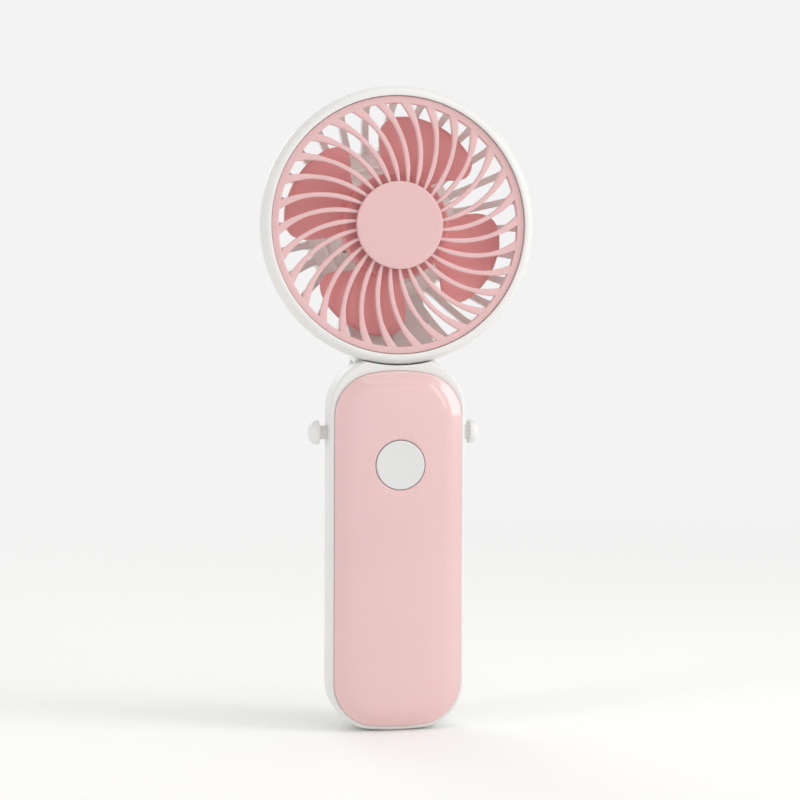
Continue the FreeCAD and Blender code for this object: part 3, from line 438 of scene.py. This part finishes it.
def carve(piece, drill, operation="DIFFERENCE"):
    """Takes a closed bmesh in millimetres out of a piece, or joins it on."""
    bmesh.ops.scale(drill, vec=(MM, MM, MM), verts=drill.verts)
    bmesh.ops.recalc_face_normals(drill, faces=drill.faces)
    mesh = bpy.data.meshes.new("drill")
    drill.to_mesh(mesh)
    drill.free()
    tool = bpy.data.objects.new("drill", mesh)
    bpy.context.scene.collection.objects.link(tool)
    modifier = piece.modifiers.new("carve", "BOOLEAN")
    modifier.object = tool
    modifier.operation = operation
    modifier.solver = "EXACT"
    shaped = bpy.data.meshes.new_from_object(piece.evaluated_get(bpy.context.evaluated_depsgraph_get()))
    piece.modifiers.clear()
    old = piece.data
    shaped.name = old.name
    piece.data = shaped
    bpy.data.objects.remove(tool)
    bpy.data.meshes.remove(old)
    piece.data.shade_smooth()
    piece.data.set_sharp_from_angle(angle=math.radians(SMOOTH_ANGLE))


# ---- head ------------------------------------------------------------------------------

def make_bezel():
    """The white rim's front half: a soft roll outside and a crisp seat for the grille."""
    front, seat_depth, spigot_end = BEZEL_LOW.y, -1.5, 2.1
    seat, bore = RING + 0.15, RIM - 4.8
    spigot_outer, spigot_inner = RIM - 2.7, BAND_INNER
    outline = rounded([
        (bore, 0.0),
        (bore, seat_depth, 0.2),
        (seat, seat_depth),
        (seat, front, 0.35),
        (RIM - 1.7, front, 1.6),
        (RIM, -2.6, 1.8),
        (RIM, -0.12, 0.18),
        (RIM - 0.25, -0.02),
        (spigot_outer, 0.0),
        (spigot_outer, spigot_end, 0.2),
        (spigot_inner, spigot_end, 0.2),
        (spigot_inner, 0.0),
    ])
    bm = bmesh.new()
    lathe(bm, outline, HEAD, 224)
    add_piece("rim_bezel", bm, "white_plastic", "head", ["front_bezel"])


def rib_angle(reach):
    """Degrees a grille rib has swept round, where reach is its radius over the ring's."""
    out = reach - RIB_ROOT
    return -4.3 + 22.9 * out + 19.7 * out**2


def rib_width(reach):
    """A rib is slim at the cap, even along its middle and flares into the ring."""
    return min(RIB_EVEN, RIB_SLIM + 5.6 * (reach - RIB_ROOT)) + 9.2 * max(0.0, reach - RIB_FLARE)


def make_grille():
    """The ring, the plate behind the cap and the curved ribs between them."""
    front, back = GRILLE_LOW.y, GRILLE_HIGH.y
    ring_bore, plate = 39.3, CAP - 0.4
    bm = bmesh.new()
    lathe(bm, rounded([
        (ring_bore, front, 0.45),
        (RING, front, 0.25),
        (RING, back, 0.2),
        (ring_bore, back, 0.3),
    ]), HEAD, 240)
    lathe(bm, rounded([
        (0.0, front - 0.1),
        (plate, front - 0.1, 0.3),
        (plate, back - 0.4, 0.3),
        (0.0, back - 0.4),
    ]), HEAD, 160)
    steps = 26
    soft = 0.42
    # the ribs start under the cap and end inside the ring
    first, last = 0.325, (ring_bore + 0.45) / RING
    for k in range(RIB_COUNT):
        sections = []
        for i in range(steps + 1):
            reach = first + (last - first) * i / steps
            radius = reach * RING
            half = rib_width(reach) / 2
            crest = front - 0.15 + 0.28 * reach
            lean = min(soft, half * 0.8)
            across = rounded([
                (-half, crest, lean),
                (half, crest, lean),
                (half - 0.08, back - 0.2, 0.25),
                (-half + 0.08, back - 0.2, 0.25),
            ], steps=4)
            angle = 360.0 / RIB_COUNT * k + rib_angle(reach)
            sections.append([polar(radius, angle + math.degrees(t / radius), y) for t, y in across])
        loft(bm, sections)
    add_piece("swirl_grille", bm, "pink_grille", "head", ["front_grille"])


def make_cap():
    """The round cap, slightly crowned, with a short peg into the grille's plate."""
    front, back = CAP_LOW.y, GRILLE_LOW.y
    crown, peg = 0.12, 5.0
    bm = bmesh.new()
    face = [(CAP * share, front + crown * share**2) for share in (0.0, 0.25, 0.5, 0.75)]
    outline = face + rounded([
        (CAP * 0.86, front + crown * 0.78),
        (CAP, front + crown, 0.55),
        (CAP, back + 0.1, 0.15),
        (peg, back + 0.1),
        (peg, back + 1.8),
        (0.0, back + 1.8),
    ], closed=False)
    lathe(bm, outline, HEAD, 192)
    add_piece("round_cap", bm, "pink_grille", "head", ["grille_cap"])


def blade_edges(radius):
    """The blade's two edges at a radius, as angles from the blade's middle."""
    trailing = [(16.5, -17.0), (19.0, -20.0), (22.0, -24.5), (25.0, -30.0), (28.0, -32.6), (31.2, -30.3),
                (33.4, -24.3), (34.9, -13.5), (35.9, -2.0), (BLADE_TIP, 9.0)]
    leading = [(16.5, 33.0), (25.0, 33.0), (29.0, 32.3), (31.8, 30.6), (33.8, 28.3), (35.0, 25.5),
               (35.9, 21.5), (BLADE_TIP, 15.0)]
    return spline_at(trailing, radius), spline_at(leading, radius)


def spline_at(points, x):
    """A smooth curve through (x, value) points, read at x."""
    last = len(points) - 1
    i = 0
    while i < last - 1 and x > points[i + 1][0]:
        i += 1
    x0, y0 = points[i]
    x1, y1 = points[i + 1]

    def slope(j):
        if j in (0, last):
            near = 1 if j == 0 else last - 1
            return (points[near][1] - points[j][1]) / (points[near][0] - points[j][0])
        a = (points[j][1] - points[j - 1][1]) / (points[j][0] - points[j - 1][0])
        b = (points[j + 1][1] - points[j][1]) / (points[j + 1][0] - points[j][0])
        return 0.0 if a * b <= 0 else 2 * a * b / (a + b)

    width = x1 - x0
    t = min(1.0, max(0.0, (x - x0) / width))
    m0, m1 = slope(i) * width, slope(i + 1) * width
    return ((2 * t**3 - 3 * t**2 + 1) * y0 + (t**3 - 2 * t**2 + t) * m0
            + (3 * t**2 - 2 * t**3) * y1 + (t**3 - t**2) * m1)


def make_impeller():
    """The hub's cup with its boss for the shaft, and the twisted blades."""
    hub_radius, hub_wall, hub_front, hub_back = 17.5, 1.2, 0.5, 9.0
    boss, bore, boss_back = 3.0, 1.0, 8.0
    bm = bmesh.new()
    lathe(bm, rounded([
        (0.0, hub_front),
        (hub_radius, hub_front, 1.1),
        (hub_radius, hub_back, 0.25),
        (hub_radius - hub_wall, hub_back, 0.25),
        (hub_radius - hub_wall, hub_front + hub_wall, 0.4),
        (boss, hub_front + hub_wall, 0.3),
        (boss, boss_back, 0.2),
        (bore, boss_back),
        (bore, hub_front + 1.4),
        (0.0, hub_front + 1.4),
    ]), HEAD, 144)
    rows = 34
    across = 18
    half = BLADE_HALF_THICK
    for k in range(BLADE_COUNT):
        middle = BLADE_FIRST + 360.0 / BLADE_COUNT * k
        sections = []
        for i in range(rows + 1):
            share = i / rows
            radius = BLADE_ROOT + (BLADE_TIP - BLADE_ROOT) * math.sin(share * math.pi / 2) ** 0.9
            trailing, leading = blade_edges(radius)
            upper, lower = [], []
            for j in range(across + 1):
                along = j / across
                ease = (1 - math.cos(math.pi * along)) / 2
                angle = trailing + (leading - trailing) * ease
                turn = math.radians(angle)
                depth = BLADE_MIDDLE_DEPTH + BLADE_PITCH * radius * math.sin(turn)
                camber = BLADE_CAMBER * math.sin(math.pi * ease) * (radius / BLADE_TIP)
                edge = min(along, 1 - along) * (math.radians(leading - trailing)) * radius
                rim = math.sqrt(max(0.0, min(1.0, edge / half)))
                end = math.sqrt(max(0.0, min(1.0, (BLADE_TIP - radius) / 0.5 + 0.05)))
                thick = half * max(0.12, min(rim, end))
                spot = polar(radius, middle + angle, depth - camber)
                upper.append(spot + Vector((0, -thick, 0)))
                lower.append(spot + Vector((0, thick, 0)))
            sections.append(upper + list(reversed(lower)))
        loft(bm, sections)
    add_piece("fan_impeller", bm, "pink_impeller", "rotor", ["impeller"], smooth_angle=50)


def dome_point(dome, share):
    """A point of the dome's long curve, from the band at share 0 to the disc at share 1."""
    start, end, radius = Vector(dome[0]), Vector(dome[1]), dome[2]
    chord = end - start
    out = Vector((chord.y, -chord.x)).normalized()
    sag = math.sqrt(radius**2 - (chord.length / 2) ** 2)
    centre = (start + end) / 2 - out * sag
    first = start - centre
    swing = first.angle_signed(end - centre)
    turned = first.copy()
    turned.rotate(Matrix.Rotation(-swing * share, 2))
    return centre + turned


def make_cage():
    """The rear half of the head: band, ribs, disc with the motor's cup, and the arm."""
    bm = bmesh.new()
    # band behind the bezel, with the seam's small step and a rebate for the bezel's spigot
    seam, rebate, rebate_depth = 0.02, RIM - 2.6, 2.2
    lathe(bm, rounded([
        (rebate, seam),
        (RIM - 0.25, seam),
        (RIM, 0.12, 0.15),
        (RIM - 0.1, 2.0, 2.0),
        (DOME_OUTER[0][0], BAND_BACK, 0.5),
        (BAND_INNER, BAND_BACK, 0.3),
        (BAND_INNER, rebate_depth),
        (rebate, rebate_depth),
    ]), HEAD, 224)
    steps = 14
    for k in range(CAGE_RIBS):
        # the arm takes the place of the lowest rib and of those beside it
        if min(k, CAGE_RIBS - k) <= 1:
            continue
        angle = 270.0 + k * 360.0 / CAGE_RIBS
        sections = []
        for i in range(steps + 1):
            share = -0.02 + 1.04 * i / steps
            outer, inner = dome_point(DOME_OUTER, share), dome_point(DOME_INNER, share)
            up = (outer - inner).normalized()
            depth = (outer - inner).length
            wide = CAGE_RIB_HALF + 0.55 * math.exp(-share * 14) + 0.35 * math.exp(-(1 - share) * 14)
            across = rounded([
                (-wide, 0.0, 0.3),
                (wide, 0.0, 0.3),
                (wide, depth, 0.55),
                (-wide, depth, 0.55),
            ], steps=3)
            section = []
            for t, lift in across:
                r, y = inner + up * lift
                section.append(polar(r, angle + math.degrees(t / r), y))
            sections.append(section)
        loft(bm, sections)
    # disc with the motor's cup, a stiffening ring and the screw bosses
    disc_radius, disc_back = DOME_OUTER[1]
    disc_front = DOME_INNER[1][1]
    cup_inner, cup_outer, cup_front, cup_hole = 12.1, 13.5, 14.0, 9.0
    seat = disc_back - 0.4
    lathe(bm, rounded([
        (cup_inner, cup_front, 0.2),
        (cup_outer, cup_front, 0.2),
        (cup_outer, disc_front, 0.5),
        (20.0, disc_front),
        (20.0, disc_front - 0.8, 0.2),
        (21.0, disc_front - 0.8, 0.2),
        (21.0, disc_front),
        (25.4, disc_front),
        (disc_radius, disc_back, 0.8),
        (19.0, disc_back),
        (18.6, seat),
        (cup_hole, seat),
        (cup_hole, disc_front),
        (cup_inner, disc_front),
    ]), HEAD, 160)
    boss = rounded([(0.8, 23.0), (2.0, 22.6, 0.2), (2.0, 26.8), (0.8, 26.8)])
    for angle in MOTOR_SCREW_ANGLES:
        lathe(bm, boss, polar(MOTOR_SCREW_CIRCLE, angle, 0.0), 28)
    add_arm(bm)
    # the cage takes the brighter copy of the white plastic, painted light for the shade inside the head
    add_piece("cage_and_arm", bm, "cage_white_painted_light", "head", ["rear_cage"])


def add_arm(bm):
    """The arm: a strip of the dome from the disc down to the band, then neck and hinge barrel."""
    steps, columns = 20, 14
    sections = []
    for i in range(steps + 1):
        share = i / steps
        outer, inner = dome_point(DOME_OUTER, share), dome_point(DOME_INNER, share)
        edge = 0.7
        section = []
        for j in range(columns + 1):
            x = -ARM_HALF + 2 * ARM_HALF * j / columns
            near = ARM_HALF - abs(x)
            drop = edge - math.sqrt(max(0.0, edge**2 - max(0.0, edge - near) ** 2))
            r, y = outer + (inner - outer).normalized() * drop
            section.append(Vector((x, y, HEAD_Z - math.sqrt(r**2 - x**2))))
        for j in range(columns, -1, -1):
            x = -ARM_HALF + 2 * ARM_HALF * j / columns
            section.append(Vector((x, inner.y, HEAD_Z - math.sqrt(inner.x**2 - x**2))))
        sections.append(section)
    loft(bm, sections)
    # the neck and the hinge barrel: one profile across, whose top follows the dome's wall
    stations = 22
    sections = []
    for j in range(stations + 1):
        share = j / stations
        x = -ARM_HALF * math.cos(math.pi * share)
        near = ARM_HALF - abs(x)
        ease = 0.6
        shrink = ease - math.sqrt(max(0.0, ease**2 - max(0.0, ease - near) ** 2))
        r = BARREL_RADIUS - shrink
        section = []
        for k in range(25):
            turn = math.pi + math.pi * k / 24
            section.append(Vector((x, HINGE_Y + r * math.cos(turn), HINGE_Z + r * math.sin(turn))))
        for k in range(17):
            y = HINGE_Y + r - 2 * r * k / 16
            wall = wall_radius(y)
            section.append(Vector((x, y, HEAD_Z - math.sqrt(wall**2 - x**2))))
        sections.append(section)
    loft(bm, sections)


def wall_radius(y):
    """The middle of the head's wall at a depth, on the band or on the dome."""
    if y <= BAND_BACK:
        return RIM - 2.0
    low, high = 0.0, 1.0
    for _ in range(30):
        share = (low + high) / 2
        depth = dome_point(DOME_OUTER, share).y
        low, high = (share, high) if depth < y else (low, share)
    return dome_point(DOME_OUTER, low).x - 1.1


def make_motor_cover():
    """The round cover at the back, sunk a little inside its flat rim, with three screw holes."""
    back = MOTOR_COVER_HIGH.y
    radius, front = 18.0, 28.5
    bm = bmesh.new()
    outline = rounded([
        (0.0, front),
        (radius, front),
        (radius, back, 1.3),
        (12.5, back, 0.4),
        (12.0, back - 0.5, 0.4),
        (0.0, back - 0.35),
    ])
    lathe(bm, outline, HEAD, 160)
    cover = add_piece("back_cover", bm, "white_plastic", "head", ["motor_cover"])
    hole = [(0.0, 29.6), (1.5, 29.6), (1.5, back - 0.3), (1.9, back + 1), (0.0, back + 1)]
    for angle in MOTOR_SCREW_ANGLES:
        drill = bmesh.new()
        lathe(drill, rounded(hole), polar(MOTOR_SCREW_CIRCLE, angle, 0.0), 32)
        carve(cover, drill)


# ---- handle ----------------------------------------------------------------------------

def corner_place(half, rounding, bulge):
    """How far an end's corners are turned, and how far their centres lie from that end."""
    if bulge is None:
        return 0.0, rounding
    reach = half - rounding
    between = bulge - rounding
    return math.degrees(math.asin(reach / between)), bulge - math.sqrt(between**2 - reach**2)


def ring(outline, inset, depth):
    """An outline across the handle, moved inwards, always with the same point count."""
    half, low, high, low_round, high_round, low_bulge, high_bulge = outline
    half, low, high = half - inset, low + inset, high - inset
    least = 0.4
    low_round, high_round = max(least, low_round - inset), max(least, high_round - inset)
    low_bulge = low_bulge and low_bulge - inset
    high_bulge = high_bulge and high_bulge - inset
    low_turn, low_rise = corner_place(half, low_round, low_bulge)
    high_turn, high_rise = corner_place(half, high_round, high_bulge)
    corners = (
        (half - low_round, low + low_rise, low_round, 270.0 + low_turn, 360.0),
        (half - high_round, high - high_rise, high_round, 0.0, 90.0 - high_turn),
        (high_round - half, high - high_rise, high_round, 90.0 + high_turn, 180.0),
        (low_round - half, low + low_rise, low_round, 180.0, 270.0 - low_turn),
    )
    # what joins each corner to the next: a straight side, or an end that may be an arc
    ends = {1: (high_bulge, high, 90.0, high_turn), 3: (low_bulge, low, 270.0, low_turn)}
    points = []
    for i, (cx, cz, radius, start, stop) in enumerate(corners):
        for k in range(ARC_STEPS + 1):
            turn = math.radians(start + (stop - start) * k / ARC_STEPS)
            points.append(Vector((cx + radius * math.cos(turn), depth, cz + radius * math.sin(turn))))
        nx, nz, next_radius, next_start, _ = corners[(i + 1) % 4]
        turn = math.radians(next_start)
        ahead = Vector((nx + next_radius * math.cos(turn), depth, nz + next_radius * math.sin(turn)))
        here = points[-1]
        bulge, limit, middle, spread = ends.get(i, (None, 0.0, 0.0, 0.0))
        run = SIDE_STEPS if i in (0, 2) else END_STEPS
        for k in range(1, run):
            if bulge is None:
                points.append(here.lerp(ahead, k / run))
                continue
            turn = math.radians(middle - spread + 2 * spread * k / run)
            centre = limit - bulge * math.sin(math.radians(middle))
            points.append(Vector((bulge * math.cos(turn), depth, centre + bulge * math.sin(turn))))
    return points


def quarter(start, end, steps=10):
    """Points of (inset, depth) round a quarter of an ellipse, on which the inset changes first."""
    points = []
    for k in range(1, steps + 1):
        turn = math.pi / 2 * k / steps
        inset = start[0] + (end[0] - start[0]) * math.sin(turn)
        points.append((inset, start[1] + (end[1] - start[1]) * (1 - math.cos(turn))))
    return points


def back_inset(depth):
    """How far the shell's rounded back edge has drawn in at a depth."""
    past = max(0.0, depth - (SHELL_HIGH.y - BACK_ROUND))
    return BACK_ROUND - math.sqrt(max(0.0, BACK_ROUND**2 - past**2))


def hinge_block():
    """The solid part at the top of the handle that holds the hinge, kept inside the shell."""
    half, floor = 16.2, 108.6
    sections = []
    for depth in (-2.4, 2.0, 6.0, 8.5, 10.5, 12.0, 12.6):
        inset = 0.4 + back_inset(depth)
        radius = TOP_CORNER - inset
        cx, cz = HANDLE_HALF - TOP_CORNER, HANDLE_TOP - TOP_CORNER
        start = math.acos((half - cx) / radius)
        arc = [start + (math.pi / 2 - start) * k / 10 for k in range(11)]
        right = [(cx + radius * math.cos(t), cz + radius * math.sin(t)) for t in arc]
        left = [(-x, z) for x, z in reversed(right)]
        outline = [(-half, floor), (half, floor)] + right + left
        sections.append([Vector((x, depth, z)) for x, z in outline])
    block = bmesh.new()
    loft(block, sections)
    return block


def make_shell():
    """The handle's white shell, hollow behind the cover, with its hinge, slot, port and holes."""
    front, back = SHELL_LOW.y, SHELL_HIGH.y
    seam, room = 0.035, 0.2
    inside = [
        (SHELL_WALL, back - SHELL_WALL),
        (-room, back - SHELL_WALL - 2.5),
        (-room, 6.0),
        (-room, 0.0),
        (-room, front + 1.3),
        (-seam, front + 1.1),
        (-seam, front + 0.16),
        (-seam - 0.05, front + 0.05),
        (-seam - 0.17, front),
    ]
    outside = [(LIP, front + 0.02)] + quarter((LIP, front + 0.02), (0.0, front + 2.4))
    outside += [(0.0, depth) for depth in (0.0, 2.4, 4.8)]
    for k in range(1, 17):
        depth = back - BACK_ROUND * (1 - math.sin(math.pi / 2 * k / 16))
        outside.append((back_inset(depth), depth))
    outside.append((11.0, back))
    sections = [ring(COVER_OUTLINE, inset, depth) for inset, depth in inside]
    sections += [ring(SHELL_OUTLINE, inset, depth) for inset, depth in outside]
    bm = bmesh.new()
    loft(bm, sections)
    shell = add_piece("handle_shell", bm, "white_plastic", "handle", ["rear_shell"])
    carve(shell, hinge_block(), "UNION")
    # the hollow that the round head sits in, and the slot that its arm swings in
    far, over = 40.0, 140.0
    saddle = bmesh.new()
    lathe(saddle, [(0.0, -far), (RIM + 0.4, -far), (RIM + 0.4, far), (0.0, far)], HEAD, 256)
    carve(shell, saddle)
    slot = bmesh.new()
    profile = rounded([(SLOT_FRONT, SLOT_FLOOR, 1.2), (far, SLOT_FLOOR), (far, over), (SLOT_FRONT, over)])
    loft(slot, [[Vector((x, y, z)) for y, z in profile] for x in (-SLOT_HALF, SLOT_HALF)])
    carve(shell, slot)
    past = back + 2.0
    screw_hole = [(0.0, SCREW_SEAT), (SCREW_HOLE, SCREW_SEAT), (SCREW_HOLE, past), (0.0, past)]
    for x in (-SHELL_SCREW_X, SHELL_SCREW_X):
        for z in SHELL_SCREW_Z:
            hole = bmesh.new()
            lathe(hole, screw_hole, (x, 0, z), 40)
            carve(shell, hole)
    port = bmesh.new()
    middle = (SOCKET_LOW.z + SOCKET_HIGH.z) / 2
    mouth = rounded([
        (-PORT_HALF_WIDE, middle - PORT_HALF_HIGH, PORT_ROUND),
        (PORT_HALF_WIDE, middle - PORT_HALF_HIGH, PORT_ROUND),
        (PORT_HALF_WIDE, middle + PORT_HALF_HIGH, PORT_ROUND),
        (-PORT_HALF_WIDE, middle + PORT_HALF_HIGH, PORT_ROUND),
    ], steps=10)
    loft(port, [[Vector((x, y, z)) for x, z in mouth] for y in (POCKET_FRONT, past)])
    carve(shell, port)
    light = bmesh.new()
    light_place = (LIGHT_LOW + LIGHT_HIGH) / 2
    lathe(light, [(0.0, POCKET_FRONT), (LIGHT_HOLE, POCKET_FRONT), (LIGHT_HOLE, past), (0.0, past)],
          (light_place.x, 0.0, light_place.z), 32)
    carve(shell, light)


def crowned(depth, x):
    """The cover's face falls away towards its long sides."""
    return COVER_EDGE + (depth - COVER_EDGE) * (1 - COVER_CROWN * (x / COVER_HALF) ** 2)


def make_cover():
    """The glossy front of the handle: a hollow skin, crowned, with the button's hole."""
    front = COVER_LOW.y
    # (inset, depth) inside, and then over the shoulder and onto the face
    inside = ((5.6, -6.1), (2.6, -5.6), (1.6, -4.6), (1.6, COVER_BACK))
    sections = [ring(COVER_OUTLINE, inset, depth) for inset, depth in inside]
    skin = rounded([
        (0.0, COVER_BACK),
        (0.0, COVER_SHOULDER, 1.4),
        (4.6, -7.62, 9.0),
        (11.4, front),
    ], steps=12, closed=False)
    skin.insert(-1, skin[-2].lerp(skin[-1], 0.5))
    for inset, depth in skin:
        section = ring(COVER_OUTLINE, inset, depth)
        for point in section:
            if depth < COVER_EDGE:
                point.y = crowned(depth, point.x)
        sections.append(section)
    bm = bmesh.new()
    loft(bm, sections, close_ends=False)
    # the inner end is closed flat, and the crowned middle by strips from side to side
    count = len(sections[0])
    bm.verts.ensure_lookup_table()
    bm.faces.new(bm.verts[:count])
    bridge_face(bm, bm.verts[-count:])
    cover = add_piece("glossy_cover", bm, "pink_gloss", "handle", ["front_cover"], smooth_angle=60)
    # the hole's soft mouth, as (radius, depth behind the face), then its straight wall
    mouth = ((0.0, -2.0), (9.4, -2.0), (8.95, -0.1), (8.6, 0.04), (8.35, 0.2),
             (8.18, 0.42), (8.12, 0.7), (8.12, 1.2), (8.2, 1.3))
    outline = [(radius, front + past) for radius, past in mouth] + [(8.2, 0.0), (0.0, 0.0)]
    hole = bmesh.new()
    lathe(hole, outline, (0.0, 0.0, BUTTON_Z), 128)
    carve(cover, hole)


def bridge_face(bm, loop):
    """Closes a ring by strips between points at the same height on its left and right."""
    loop = list(loop)
    left = sorted((v for v in loop if v.co.x < 0), key=lambda v: v.co.z)
    right = sorted((v for v in loop if v.co.x > 0), key=lambda v: v.co.z)
    columns = 9
    rows = []
    for a, b in zip(left, right):
        row = [a]
        for k in range(1, columns):
            spot = a.co.lerp(b.co, k / columns)
            spot.y = crowned(COVER_LOW.y, spot.x)
            row.append(bm.verts.new(spot))
        row.append(b)
        rows.append(row)
    for first, second in zip(rows, rows[1:]):
        for k in range(columns):
            bm.faces.new((first[k], first[k + 1], second[k + 1], second[k]))


def make_button():
    """The push button: a dished face, the flange that keeps it in, and its stem."""
    front, radius, flange, stem = BUTTON_LOW.y, BUTTON_RADIUS, BUTTON_FLANGE, 2.2
    bm = bmesh.new()
    face = [(radius * share, front + BUTTON_DISH * (1 - share**2)) for share in (0.0, 0.2, 0.4, 0.6, 0.8)]
    outline = face + rounded([
        (radius * 0.93, front + 0.02),
        (radius, front + 0.05, 0.45),
        (radius, front + 1.8),
        (flange, front + 1.8, 0.15),
        (flange, front + 2.6, 0.15),
        (stem, front + 2.6),
        (stem, BUTTON_HIGH.y),
        (0.0, BUTTON_HIGH.y),
    ], closed=False)
    lathe(bm, outline, (0.0, 0.0, BUTTON_Z), 144)
    add_piece("round_button", bm, "button_white", "button", ["power_button"])


def peg_outline():
    """A lanyard peg's (radius, x): a flange inside the shell, a neck and a flattened dome."""
    tip, inside = PEG_HIGH.x, COVER_HALF + 0.2
    head = HANDLE_HALF + PEG_NECK_LENGTH
    widest = head + 0.4
    outline = rounded([
        (0.0, inside - 1.2),
        (PEG_FLANGE, inside - 1.2),
        (PEG_FLANGE, inside),
        (PEG_NECK, inside),
        (PEG_NECK, head, 0.25),
        (PEG_HEAD - 0.1, head, 0.25),
        (PEG_HEAD, widest),
    ], steps=8, closed=False)
    steps = 16
    for k in range(1, steps):
        turn = math.pi / 2 * k / steps
        # a power under 1 makes the dome fuller than an ellipse
        outline.append(Vector((PEG_HEAD * math.cos(turn) ** 0.7, tip - (tip - widest) * (1 - math.sin(turn)))))
    outline.append(Vector((0.0, tip)))
    return outline


def make_pegs():
    outline = peg_outline()
    for name, side in (("lanyard_peg_left", -1), ("lanyard_peg_right", 1)):
        bm = bmesh.new()
        lathe(bm, [(r, side * along) for r, along in outline], (0.0, PEG_Y, PEG_Z), 72, axis="x")
        add_piece("mushroom_" + name, bm, "white_plastic", "handle", [name])


# ---- the frame's own pieces ------------------------------------------------------------


def finish_cad_nodes():
    """Every CAD piece that stays takes the full material of its slot."""
    slots = {row["node"]: row["material_slot"] for row in frame["record"]["subparts"]}
    for name, node in frame["nodes"].items():
        node.data.materials.clear()
        node.data.materials.append(MATERIALS[slots[name]])


make_camera()
make_lights()
make_stage()
MATERIALS = make_materials()
finish_cad_nodes()
make_bezel()
make_grille()
make_cap()
make_impeller()
make_cage()
make_motor_cover()
make_shell()
make_cover()
make_button()
make_pegs()
